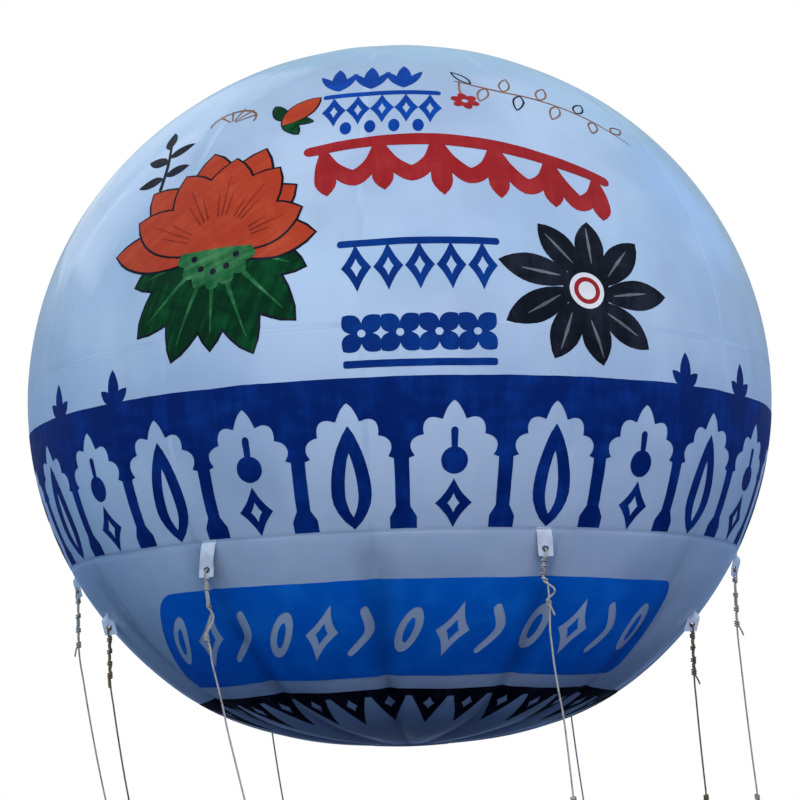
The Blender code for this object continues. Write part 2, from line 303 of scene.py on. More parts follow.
def film_material(name, colour, shade, roughness):
    """Film with soft cloudy tone, faint streaks of dust, a few small creases and painted shade at the slack
    seam folds.
    """
    film = Finish(name, roughness)
    place = film.place
    cloud = film.smooth_step(film.noise(place, 1.3, 3.0), 0.35, 0.65)
    streaked = film.vector_maths("MULTIPLY", place, (1.0, 1.0, 0.35))
    dust = film.smooth_step(film.noise(streaked, 5.0, 3.0, 0.5), 0.45, 0.95, 0.0, 0.16)
    soiled = film.mixed(dust, film.mixed(cloud, colour, shade), FILM_DIRT)
    # Painted shade darkens the film at the slack folds of the upright seams
    film.plug("Base Color", film.mixed(fold_shade(film) * 0.42, soiled, FILM_FOLD_SHADE))
    film.plug("Roughness", film.smooth_step(film.noise(place, 4.0, 4.0), 0.3, 0.7,
                                            roughness - 0.04, roughness + 0.08))
    crease = film.noise(film.vector_maths("MULTIPLY", place, (1.0, 1.0, 0.5)), 5.0, 3.0, 0.45)
    film.bump(crease + film.noise(place, 60.0, 2.0) * 0.02, 0.010, 0.6)
    return film.material


def weld_material():
    """Welded lap: the film's colour with painted shade at the slack seam folds, pressed with fine level
    ribs.
    """
    lap = Finish("Welded lap", 0.22)
    cloud = lap.smooth_step(lap.noise(lap.place, 2.5, 3.0), 0.35, 0.65)
    tone = lap.mixed(cloud, FILM, FILM_SHADE)
    # Painted shade darkens the lap at the slack folds of the upright seams
    lap.plug("Base Color", lap.mixed(fold_shade(lap) * 0.42, tone, FILM_FOLD_SHADE))
    ribs = lap.node("ShaderNodeTexWave", {"Vector": lap.place, "Scale": 70.0, "Distortion": 0.0},
                    wave_type="BANDS", bands_direction="Z")
    lap.bump(ribs, 0.0008, 0.18)
    return lap.material


def enamel_material(name, colour, light, strokes=0.3, lean=0.0, cover=0.75):
    """Brushed enamel: lapped strokes, laid at a lean, a little lighter, with a faint relief and painted
    shade at the slack seam folds.
    """
    enamel = Finish(name, ENAMEL_ROUGHNESS, 0.07)
    plan = enamel.plan()
    leant = enamel.turned(plan, radians(lean))
    streak = enamel.noise(enamel.vector_maths("MULTIPLY", leant, (26.0, 3.2, 1.0)), 1.0, 4.0, 0.6)
    lap = enamel.noise(enamel.vector_maths("MULTIPLY", leant, (4.0, 22.0, 1.0)), 1.0, 2.0, 0.5)
    cloud = enamel.noise(plan, 5.0, 3.0, 0.55)
    share = enamel.smooth_step(streak * strokes + lap * 0.2 + cloud * (1 - strokes), 0.52, 0.78)
    tone = enamel.mixed(share * cover, srgb(*colour), srgb(*light))
    # Painted shade darkens the enamel at the slack folds of the upright seams
    enamel.plug("Base Color", enamel.mixed(fold_shade(enamel) * 0.35, tone, ENAMEL_FOLD_SHADE))
    enamel.plug("Roughness", enamel.smooth_step(cloud, 0.3, 0.7, ENAMEL_ROUGHNESS - 0.05,
                                                ENAMEL_ROUGHNESS + 0.12))
    enamel.bump(streak, 0.0006, strokes)
    return enamel.material


def cloth_material(name, colour, shade):
    """Coated cloth strip: a fine plain weave under the coating, greyed a little by handling."""
    cloth = Finish(name, 0.45, 0.45)
    stain = cloth.smooth_step(cloth.noise(cloth.place, 22.0, 5.0, 0.6), 0.45, 0.80, 0.0, 0.7)
    cloth.plug("Base Color", cloth.mixed(stain, srgb(*colour), srgb(*shade)))
    x, y, _ = cloth.separated(cloth.plan())
    weave = cloth.maths("SINE", x * 2600.0) * cloth.maths("SINE", y * 2600.0)
    cloth.bump(weave * 0.12 + cloth.noise(cloth.place, 45.0, 3.0), 0.0012, 0.6)
    return cloth.material


def rope_material(name, colour, shade, stain):
    """Twisted cord: fine fibres that run with the strands, weathered in patches."""
    cord = Finish(name, 0.85, 0.2)
    fibre = cord.noise(cord.place, 900.0, 2.0)
    patch = cord.smooth_step(cord.noise(cord.place, 28.0, 4.0, 0.6), 0.42, 0.72)
    tone = cord.mixed(fibre, srgb(*shade), srgb(*colour))
    cord.plug("Base Color", cord.mixed(patch * 0.65, tone, srgb(*stain)))
    cord.bump(fibre, 0.0006, 0.7)
    return cord.material


def brass_material():
    brass = Finish("Dull brass", 0.38, metallic=1.0)
    tarnish = brass.smooth_step(brass.noise(brass.place, 160.0, 4.0, 0.6), 0.40, 0.72)
    brass.plug("Base Color", brass.mixed(tarnish, srgb(128, 116, 92), srgb(60, 52, 42)))
    brass.plug("Roughness", brass.smooth_step(tarnish, 0.0, 1.0, 0.30, 0.62))
    brass.bump(brass.noise(brass.place, 700.0, 2.0), 0.0003, 0.5)
    return brass.material


# Geometry trees


def new_tree(name, inputs):
    """An empty geometry tree with named inputs, its graph and its first wire."""
    tree = bpy.data.node_groups.new(name, "GeometryNodeTree")
    for way in ("INPUT", "OUTPUT"):
        tree.interface.new_socket("Geometry", in_out=way, socket_type="NodeSocketGeometry")
    for label, value in inputs.items():
        kind = "NodeSocketMaterial" if value is None else "NodeSocketFloat"
        socket = tree.interface.new_socket(label, in_out="INPUT", socket_type=kind)
        if value is not None:
            socket.default_value = value
    graph = Graph(tree)
    return tree, graph, graph.node("NodeGroupInput")


def end_tree(graph, geometry, material):
    """Close a tree: realize what is instanced, set the material, hand the shape on."""
    geometry = graph.node("GeometryNodeRealizeInstances", {"Geometry": geometry})
    geometry = graph.node("GeometryNodeSetShadeSmooth", {"Geometry": geometry})
    geometry = graph.node("GeometryNodeSetMaterial", {"Geometry": geometry, "Material": material})
    graph.node("NodeGroupOutput", {"Geometry": geometry})


def direction_on_plan(graph, x, y, centre_azimuth, centre_latitude, rounded):
    """The envelope's direction for a plan point, laid along the parallels or round a centre."""
    azimuth = centre_azimuth + x / RADIUS
    latitude = centre_latitude + y / RADIUS
    level = graph.maths("COSINE", latitude)
    parallel = graph.combined(graph.maths("SINE", azimuth) * level,
                              graph.maths("COSINE", azimuth) * level * -1.0,
                              graph.maths("SINE", latitude))
    reach = graph.maths("SQRT", x * x + y * y) + 1e-6
    angle = reach / RADIUS
    share = graph.maths("SINE", angle) / reach
    local = graph.combined(x * share, graph.maths("COSINE", angle) * -1.0, y * share)
    turned = graph.turned(graph.turned(local, centre_latitude * -1.0, "X_AXIS"), centre_azimuth)
    return graph.node("ShaderNodeMix", {"Factor_Float": rounded, "A_Vector": parallel, "B_Vector": turned},
                      "Result_Vector", data_type="VECTOR")


def film_relief(graph, direction):
    """Height of the film over the plain spheroid: bulges, sunk seams, slack and a flatter bottom."""
    x, y, z = graph.separated(direction)
    azimuth = graph.maths("ARCTAN2", x, y * -1.0)
    latitude = graph.maths("ARCSINE", z)
    level = graph.maths("COSINE", latitude)
    fade = graph.smooth_step(level, 0.03, 0.30)
    low = graph.smooth_step(latitude, radians(-22), radians(-48))
    turn = graph.maths("FRACT", (azimuth - SEAM_AZIMUTH) / GORE_WIDTH + 8.0)
    middle = graph.maths("SINE", turn * pi)
    near = graph.maths("MINIMUM", turn, 1.0 - turn) * (GORE_WIDTH * RADIUS) * level
    sunk = graph.maths("EXPONENT", (near / VALLEY_WIDTH) ** 2.0 * -1.0)
    depth = VALLEY_ABOVE + low * (VALLEY_BELOW - VALLEY_ABOVE)
    full = level + low * (1.0 - level)
    relief = middle * middle * BULGE * (1.0 + low) * full * fade - sunk * depth * fade
    relief = relief - graph.smooth_step(latitude, radians(-52), radians(-85)) * BOTTOM_SINK
    for seam, share in ((LOWER_SEAM, 1.0), (UPPER_SEAM, 0.35)):
        away = (latitude - seam) * (RADIUS / GROOVE_WIDTH)
        relief = relief - graph.maths("EXPONENT", away * away * -1.0) * (GROOVE * share)
    slack = graph.noise(direction, 1.7, 2.0) - 0.5
    return relief + slack * (SLACK_ABOVE + low * (SLACK_BELOW - SLACK_ABOVE)) * fade


def envelope_wrap():
    """Lays a flat plan sheet on the envelope, follows the film's relief and wobbles its edges."""
    tree, graph, start = new_tree("Envelope wrap", {
        "Centre azimuth": 0.0, "Centre latitude": 0.0, "Round its centre": 0.0, "Lift": 0.0,
        "Hand wobble": 0.0, "Material": None})
    centre = [start.other(name) for name in ("Centre azimuth", "Centre latitude", "Round its centre")]
    plan = graph.node("GeometryNodeInputPosition")
    x, y, _ = graph.separated(plan)
    first = direction_on_plan(graph, x, y, *centre)
    slow_x, slow_y, _ = graph.separated(graph.noise(first, 7.0, 1.0, out="Color"))
    fast_x, fast_y, _ = graph.separated(graph.noise(first, 48.0, 1.0, out="Color"))
    x = x + ((slow_x - 0.5) * 2.4 + (fast_x - 0.5) * 0.7) * start.other("Hand wobble")
    y = y + ((slow_y - 0.5) * 2.4 + (fast_y - 0.5) * 0.7) * start.other("Hand wobble")
    direction = direction_on_plan(graph, x, y, *centre)
    normal = graph.vector_maths("NORMALIZE", graph.vector_maths(
        "MULTIPLY", direction, (1 / RADIUS, 1 / RADIUS, 1 / HALF_HEIGHT)))
    height = film_relief(graph, direction) + start.other("Lift")
    place = graph.vector_maths("ADD", graph.vector_maths(
        "MULTIPLY", direction, (RADIUS, RADIUS, HALF_HEIGHT)), graph.scaled(normal, height))
    kept = graph.node("GeometryNodeStoreNamedAttribute", {"Geometry": start, "Name": "plan", "Value": plan},
                      data_type="FLOAT_VECTOR", domain="POINT")
    wrapped = graph.node("GeometryNodeSetPosition", {"Geometry": kept, "Position": place})
    joined = graph.node("GeometryNodeMergeByDistance", {"Geometry": wrapped, "Distance": 0.0001})
    end_tree(graph, joined, start.other("Material"))
    return tree


def laid_rope():
    """Three strands laid round a path."""
    tree, graph, start = new_tree("Laid rope", {
        "Rope radius": ROPE_RADIUS, "Lay length": LAY_LENGTH, "Step": LAY_STEP, "Material": None})
    radius = start.other("Rope radius")
    path = graph.node("GeometryNodeMeshToCurve", {"Mesh": start})
    path = graph.node("GeometryNodeResampleCurve", {"Curve": path, "Length": start.other("Step")},
                      mode="LENGTH")
    strands = graph.node("GeometryNodeDuplicateElements", {"Geometry": path, "Amount": 3}, domain="SPLINE")
    along = graph.node("GeometryNodeSplineParameter", out="Length")
    angle = (along / start.other("Lay length") + strands.other("Duplicate Index") / 3.0) * tau
    normal = graph.node("GeometryNodeInputNormal")
    second = graph.vector_maths("CROSS_PRODUCT", graph.node("GeometryNodeInputTangent"), normal)
    offset = graph.vector_maths("ADD", graph.scaled(normal, graph.maths("COSINE", angle)),
                                graph.scaled(second, graph.maths("SINE", angle)))
    laid = graph.node("GeometryNodeSetPosition", {"Geometry": strands,
                                                  "Offset": graph.scaled(offset, radius * 0.50)})
    profile = graph.node("GeometryNodeCurvePrimitiveCircle", {"Resolution": 7, "Radius": radius * 0.54},
                         mode="RADIUS")
    tube = graph.node("GeometryNodeCurveToMesh", {"Curve": laid, "Profile Curve": profile,
                                                  "Fill Caps": True})
    end_tree(graph, tube, start.other("Material"))
    return tree


def finished(name, mesh, tree=None, values=(), wall=0.0, wall_side=-1.0):
    """Run a geometry tree on a mesh, give it a wall, and keep the result as a plain piece."""
    holder = bpy.data.objects.new("shape_holder", mesh)
    bpy.context.scene.collection.objects.link(holder)
    if tree:
        modifier = holder.modifiers.new("shape", "NODES")
        modifier.node_group = tree
        for item in tree.interface.items_tree:
            if item.in_out == "INPUT" and item.name in values:
                modifier[item.identifier] = values[item.name]
    if wall:
        solidify = holder.modifiers.new("wall", "SOLIDIFY")
        solidify.thickness = wall
        solidify.offset = wall_side
    depsgraph = bpy.context.evaluated_depsgraph_get()
    result = bpy.data.meshes.new_from_object(holder.evaluated_get(depsgraph), preserve_all_data_layers=True,
                                             depsgraph=depsgraph)
    bpy.data.objects.remove(holder, do_unlink=True)
    return add_piece(name, result)


def add_piece(name, mesh, sharp=40):
    """Link a plain mesh, smooth but for its edges past the sharp angle in degrees."""
    mesh.name = name
    mesh.shade_smooth()
    mesh.set_sharp_from_angle(angle=radians(sharp))
    piece = bpy.data.objects.new(name, mesh)
    bpy.context.scene.collection.objects.link(piece)
    return piece


def keep(piece, slot, *nodes):
    """Attach a finished piece to the root body that it rides on and hide the CAD parts it stands for; its
    slot is not used.
    """
    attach(piece, "root")
    if nodes:
        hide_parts(*nodes)


def new_mesh(points, faces=(), edges=(), material=None):
    mesh = bpy.data.meshes.new("shape")
    mesh.from_pydata(points, edges, faces)
    if material:
        mesh.materials.append(material)
    return mesh


def plan_mesh(points, faces):
    return new_mesh([(x, y, 0.0) for x, y in points], faces)


def grid_faces(across, rows, base=0, ring=False, loop=False):
    """Quads on a grid of points; ring joins its last column to the first, loop its last row."""
    faces = []
    for row in range(rows if loop else rows - 1):
        here, above = (base + i % rows * across for i in (row, row + 1))
        for column in range(across if ring else across - 1):
            beside = (column + 1) % across
            faces.append((here + column, here + beside, above + beside, above + column))
    return faces


def plan_grid(columns, rows):
    """A flat sheet of quads on the given column and row places."""
    return plan_mesh([(x, y) for y in rows for x in columns], grid_faces(len(columns), len(rows)))


def spread(start, end, step):
    """Even places from start to end, no further apart than step."""
    count = max(1, ceil(abs(end - start) / step))
    return [start + (end - start) * i / count for i in range(count + 1)]


def meridian_rows(start, end):
    """Row places up the envelope, closer together at the two level welds."""
    stops = [seam * RADIUS + away for seam in (LOWER_SEAM, UPPER_SEAM)
             for away in (-FINE_ROWS_REACH, FINE_ROWS_REACH)]
    rows = []
    for i, (low, high) in enumerate(zip([start] + stops, stops + [end])):
        rows += spread(low, high, FINE_ROW_LENGTH if i in (1, 3) else ROW_LENGTH)[:-1]
    return rows + [end]


# Flat outlines, in metres on the plan


def polar(angle, reach, x=0.0, y=0.0):
    """The point at an angle and a reach from x, y."""
    return x + reach * cos(angle), y + reach * sin(angle)


def ellipse(x, y, half_width, half_height=None, count=40):
    half_height = half_height or half_width
    return [(x + half_width * cos(tau * i / count), y + half_height * sin(tau * i / count))
            for i in range(count)]


def rounded_bar(left, bottom, right, top, radius):
    """A bar with rounded corners."""
    middles = ((right - radius, top - radius), (left + radius, top - radius),
               (left + radius, bottom + radius), (right - radius, bottom + radius))
    return [polar(pi / 2 * (corner + i / 6), radius, *middle)
            for corner, middle in enumerate(middles) for i in range(7)]


def lozenge(x, y, half_width, half_height, pinch=0.0):
    """A diamond whose sides curve inwards by the pinch."""
    corners = [(half_width, 0), (0, half_height), (-half_width, 0), (0, -half_height)]
    outline = []
    for (ax, ay), (bx, by) in zip(corners, corners[1:] + corners[:1]):
        for i in range(8):
            t = i / 8
            share = 1 - pinch * 4 * t * (1 - t)
            outline.append((x + (ax + (bx - ax) * t) * share, y + (ay + (by - ay) * t) * share))
    return outline


def spline(ends, parts):
    """A smooth curve through points, from the second to the last but one."""
    line = []
    for a, b, c, d in zip(ends, ends[1:], ends[2:], ends[3:]):
        for i in range(parts):
            t = i / parts
            line.append(0.5 * (2 * b + (c - a) * t + (2 * a - 5 * b + 4 * c - d) * t * t
                               + (3 * b - a - 3 * c + d) * t ** 3))
    return line + [ends[-2]]


def smoothed(path, parts=8):
    """A smooth curve through points of the plan."""
    places = [complex(x, y) for x, y in path]
    if len(places) == 2:
        start, end = places
        line = [start + (end - start) * i / parts for i in range(parts + 1)]
    else:
        line = spline([places[0], *places, places[-1]], parts)
    return [(place.real, place.imag) for place in line]


def stroke(path, widths):
    """A painted stroke of changing width along a path, with rounded ends."""
    path = smoothed(path)
    last = len(path) - 1
    left = []
    right = []
    for i, (x, y) in enumerate(path):
        ax, ay = path[max(i - 1, 0)]
        bx, by = path[min(i + 1, last)]
        length = hypot(bx - ax, by - ay) or 1.0
        share = i / last * (len(widths) - 1)
        whole = min(int(share), len(widths) - 2)
        half = (widths[whole] + (widths[whole + 1] - widths[whole]) * (share - whole)) / 2
        nx = -(by - ay) / length
        ny = (bx - ax) / length
        left.append((x + nx * half, y + ny * half))
        right.append((x - nx * half, y - ny * half))
    return right + round_end(right[-1], left[-1]) + left[::-1] + round_end(left[0], right[0])


def round_end(first, second):
    """The half circle that closes a stroke's end."""
    middle = ((first[0] + second[0]) / 2, (first[1] + second[1]) / 2)
    across = (first[0] - middle[0], first[1] - middle[1])
    start = math.atan2(across[1], across[0])
    return [polar(start + pi * i / 6, hypot(*across), *middle) for i in range(1, 6)]


def leaf(x, y, angle, length, width, fullness=0.42):
    """A leaf from its stalk to its tip, widest at the given share of its length."""
    right = []
    left = []
    for i in range(13):
        t = i / 12
        swell = (t / fullness) if t < fullness else (1 - t) / (1 - fullness)
        half = width / 2 * sin(swell * pi / 2) ** 0.8 if swell > 0 else 0.0
        right.append((t * length, -half))
        left.append((t * length, half))
    return turned_outline(right + left[-2:0:-1], angle, x, y)


def turned_outline(outline, angle, x=0.0, y=0.0):
    level, rise = cos(angle), sin(angle)
    return [(x + u * level - v * rise, y + u * rise + v * level) for u, v in outline]


def scallops(x, y, radius, depth, count, start=0.0, end=tau):
    """A ring of rounded lobes from start to end."""
    total = count * 10
    closed = abs(end - start - tau) < 1e-6
    outline = []
    for i in range(total if closed else total + 1):
        t = i / total
        reach = radius + depth * abs(sin(pi * count * t))
        outline.append(polar(start + (end - start) * t, reach, x, y))
    return outline


def anticlockwise(outline):
    area = sum(a[0] * b[1] - b[0] * a[1] for a, b in zip(outline, outline[1:] + outline[:1]))
    return outline[::-1] if area < 0 else outline


def cut_sheet(solids, holes=(), step=PAINT_STEP):
    """One flat sheet of even triangles that fills the solid outlines and leaves out the holes."""
    points = []
    loops = []
    taken = set()
    for outline in map(anticlockwise, [*solids, *holes]):
        loop = []
        for (ax, ay), (bx, by) in zip(outline, outline[1:] + outline[:1]):
            parts = max(1, ceil(hypot(bx - ax, by - ay) / (step * 0.8)))
            for i in range(parts):
                point = Vector((ax + (bx - ax) * i / parts, ay + (by - ay) * i / parts))
                loop.append(len(points))
                points.append(point)
                taken.add((round(point.x / step), round(point.y / step)))
        loops.append(loop)
    cells = set()
    for loop in loops[:len(solids)]:
        columns, rows = ([round(end([points[i][axis] for i in loop]) / step) for end in (min, max)]
                         for axis in (0, 1))
        cells |= {(column, row) for column in range(columns[0], columns[1] + 1)
                  for row in range(rows[0], rows[1] + 1)}
    points += [Vector((column * step, row * step)) for column, row in sorted(cells - taken)]
    made, _, faces, _, _, origins = delaunay_2d_cdt(points, [], loops, 1, 1e-6, True)
    kept = [face for face, origin in zip(faces, origins)
            if any(i < len(solids) for i in origin) and not any(i >= len(solids) for i in origin)]
    return plan_mesh([(p.x, p.y) for p in made], kept)


WRAP = envelope_wrap()
ROPE = laid_rope()


def painted(name, material, azimuth, latitude, solids, holes=(), layer=0, rounded=1.0, wobble=FREE_HAND,
            step=PAINT_STEP):
    """A thin coat of enamel cut to its outlines and laid on the film; layers lie on each other."""
    keep(finished(name, cut_sheet(solids, holes, step), WRAP, {
        "Centre azimuth": radians(azimuth), "Centre latitude": radians(latitude),
        "Round its centre": rounded, "Lift": PAINT_LIFT + LAYER_LIFT * layer, "Hand wobble": wobble,
        "Material": material}, PAINT_WALL), "film")


# Film gores, welds and caps
film = film_material("Printed film", FILM, FILM_SHADE, 0.15)
patch_film = film_material("Patch film", srgb(190, 214, 240), srgb(170, 196, 226), 0.34)
weld = weld_material()

edge = CAP_EDGE * RADIUS
crowded = [0.5 - 0.5 * cos(pi * i / GORE_STEPS) for i in range(GORE_STEPS + 1)]
seams = [SEAM_AZIMUTH + index * GORE_WIDTH for index in range(GORES)]
gores = []
for number, seam in enumerate(seams, 1):
    columns = [RADIUS * (seam + GORE_WIDTH * share) for share in crowded]
    gore = finished(f"gore_film_{number:02d}", plan_grid(columns, meridian_rows(-edge, edge)), WRAP,
                    {"Material": film}, FILM_THICKNESS)
    keep(gore, "film", f"gore_{number:02d}")
    gores.append(gore)

points = []
faces = []
rows = meridian_rows(-edge + WELD_INSET, edge - WELD_INSET)
for seam in seams:
    faces += grid_faces(5, len(rows), len(points))
    for y in rows:
        half = WELD_WIDTH / 2 / max(cos(y / RADIUS), LEAST_LEVEL)
        points += [(seam * RADIUS + half * share, y) for share in (-1.0, -0.5, 0.0, 0.5, 1.0)]
upright = finished("upright_welds", plan_mesh(points, faces), WRAP, {"Lift": WELD_LIFT, "Material": weld},
                   WELD_WALL)
keep(upright, "film")
columns = [RADIUS * (SEAM_AZIMUTH + GORE_WIDTH * (index + share))
           for index in range(GORES) for share in crowded[:-1]] + [RADIUS * (SEAM_AZIMUTH + tau)]
for name, seam in (("lower_weld", LOWER_SEAM), ("upper_weld", UPPER_SEAM)):
    rows = spread(seam * RADIUS - LEVEL_WELD_HALF, seam * RADIUS + LEVEL_WELD_HALF, LEVEL_WELD_STEP)
    level_weld = finished(name, plan_grid(columns, rows), WRAP,
                          {"Lift": LEVEL_WELD_LIFT, "Material": weld}, WELD_WALL)
    keep(level_weld, "film")


def disc_mesh(radius, rings, columns):
    """A flat round sheet with a fan at its middle."""
    points = [(0.0, 0.0)]
    faces = [(0, 1 + i, 1 + (i + 1) % columns) for i in range(columns)]
    for ring in range(1, rings + 1):
        points += [polar(tau * i / columns, radius * ring / rings) for i in range(columns)]
    for ring in range(rings - 1):
        base = 1 + ring * columns
        for i in range(columns):
            beside = (i + 1) % columns
            faces.append((base + i, base + columns + i, base + columns + beside, base + beside))
    return plan_mesh(points, faces)


for place, latitude in (("top", 90.0), ("bottom", -90.0)):
    cap = finished(f"{place}_patch", disc_mesh(CAP_RADIUS, 16, 96), WRAP,
                   {"Centre latitude": radians(latitude), "Round its centre": 1.0, "Lift": CAP_LIFT,
                    "Material": patch_film}, CAP_WALL)
    keep(cap, "patch", f"{place}_cap")

# Rope tabs, eyelets and tether ropes

# Name, azimuth, rows below the lower weld, distance down from that row, length of the free strip,
# its twist, its sideways lean, length of the doubled rope, lean of the single rope in X and in Y,
# outward bow of the strip; angles in degrees and lengths in metres
HANGERS = [
    ("front_left", -32.8, 0, 0.002, 0.131, 0, -6, 0.280, 0.21, 0.00, 0.008),
    ("front_right", 22.25, 0, 0.002, 0.096, 0, 10, 0.225, 0.10, 0.00, 0.002),
    ("right", 88.75, 0, 0.002, 0.091, -30, 0, 0.240, 0.08, 0.05, 0.004),
    ("rear_right", 148.75, 0, 0.002, 0.124, 0, 0, 0.240, 0.10, 0.06, 0.003),
    ("rear_left", -151.25, 0, 0.002, 0.124, 0, 0, 0.240, 0.12, 0.06, 0.005),
    ("left", -91.25, 0, 0.002, 0.091, 30, 0, 0.240, 0.16, 0.05, 0.002),
    ("low_right", 73.7, 1, 0.094, 0.092, -45, 0, 0.200, 0.06, 0.03, 0.002),
    ("low_left", -74.2, 1, 0.004, 0.092, 45, 0, 0.200, 0.14, 0.03, 0.002),
]

# Places across and heights down the two front ropes, then their knots: top, bottom and turns
FRONT_LINES = {
    "front_left": [(-0.8883, -0.9286), (-0.887, -0.957), (-0.886, -1.024), (-0.879, -1.082),
                   (-0.872, -1.118), (-0.886, -1.170), (-0.893, -1.224), (-0.878, -1.262),
                   (-0.871, -1.331), (-0.846, -1.443), (-0.822, -1.559), (-0.803, -1.660)],
    "front_right": [(0.6255, -0.8926), (0.616, -0.918), (0.611, -0.965), (0.609, -1.007),
                    (0.621, -1.034), (0.625, -1.079), (0.628, -1.124), (0.631, -1.162),
                    (0.629, -1.241), (0.635, -1.316), (0.641, -1.391), (0.654, -1.496), (0.677, -1.658)],
}
FRONT_KNOTS = {
    "front_left": [(-0.959, -0.969, 1.0), (-0.986, -1.014, 2.75), (-1.078, -1.090, 1.25),
                   (-1.212, -1.237, 2.5)],
    "front_right": [(-0.926, -0.942, 1.5), (-0.956, -0.972, 1.5), (-0.986, -1.000, 1.5),
                    (-1.014, -1.028, 1.25), (-1.114, -1.136, 2.25)],
}

# Degrees that a strip's root stands off its tab; slack bights of the front ropes: top, bottom, reach
ROOT_SHIFTS = {"front_left": 0.5}
BULGES = {"front_left": (-1.092, -1.206, 0.020), "front_right": (-1.032, -1.110, 0.036)}


def meshes_tree(pieces):
    """A search tree over the finished film."""
    points = []
    faces = []
    for piece in pieces:
        base = len(points)
        points += [vertex.co.copy() for vertex in piece.data.vertices]
        faces += [[base + i for i in polygon.vertices] for polygon in piece.data.polygons]
    return BVHTree.FromPolygons(points, faces)


FILM_TREE = meshes_tree(gores)


def on_film(point, normal):
    """Where a line along the normal meets the film's outside."""
    return FILM_TREE.ray_cast(point + normal * 0.1, -normal, 0.3)[0] or point


def eased(value, low, high):
    share = min(1.0, max(0.0, (value - low) / (high - low)))
    return share * share * (3 - 2 * share)


def between(first, second, angle):
    """The direction at an angle from the first towards the second, which is square to it."""
    return first * cos(angle) + second * sin(angle)


def offset_points(origin, side, out, offsets):
    """Points at sideways, outward and upward offsets from an origin."""
    return [origin + side * across + out * away + Z_AXIS * up for across, away, up in offsets]


def coil(centre, first, second, start, turns, steps, reach, top, bottom):
    """Turns of cord round an upright line, from a start angle and down from the top to the bottom."""
    return [centre + between(first, second, start + tau * turns * i / steps) * reach
            + Z_AXIS * (top + (bottom - top) * i / steps) for i in range(steps + 1)]


def curve_through(points, parts=10):
    """A smooth line through points in space, or through plain numbers."""
    return spline([points[0] * 2 - points[1], *points, points[-1] * 2 - points[-2]], parts)


def meridian_rate(latitude):
    """Length up the envelope for each radian of latitude."""
    return hypot(RADIUS * sin(latitude), HALF_HEIGHT * cos(latitude))


def facet(azimuth, upper, lower):
    """The part's own flat facet there: its facing, the middles of its two level edges, its normal."""
    number = math.floor((azimuth - SEAM_AZIMUTH) / FACET_WIDTH)
    facing = SEAM_AZIMUTH + (number + 0.5) * FACET_WIDTH
    top, low = (outward(facing) * RADIUS * cos(latitude) * cos(FACET_WIDTH / 2)
                + Z_AXIS * HALF_HEIGHT * sin(latitude) for latitude in (upper, lower))
    return facing, top, low, sideways(facing).cross(top - low).normalized()


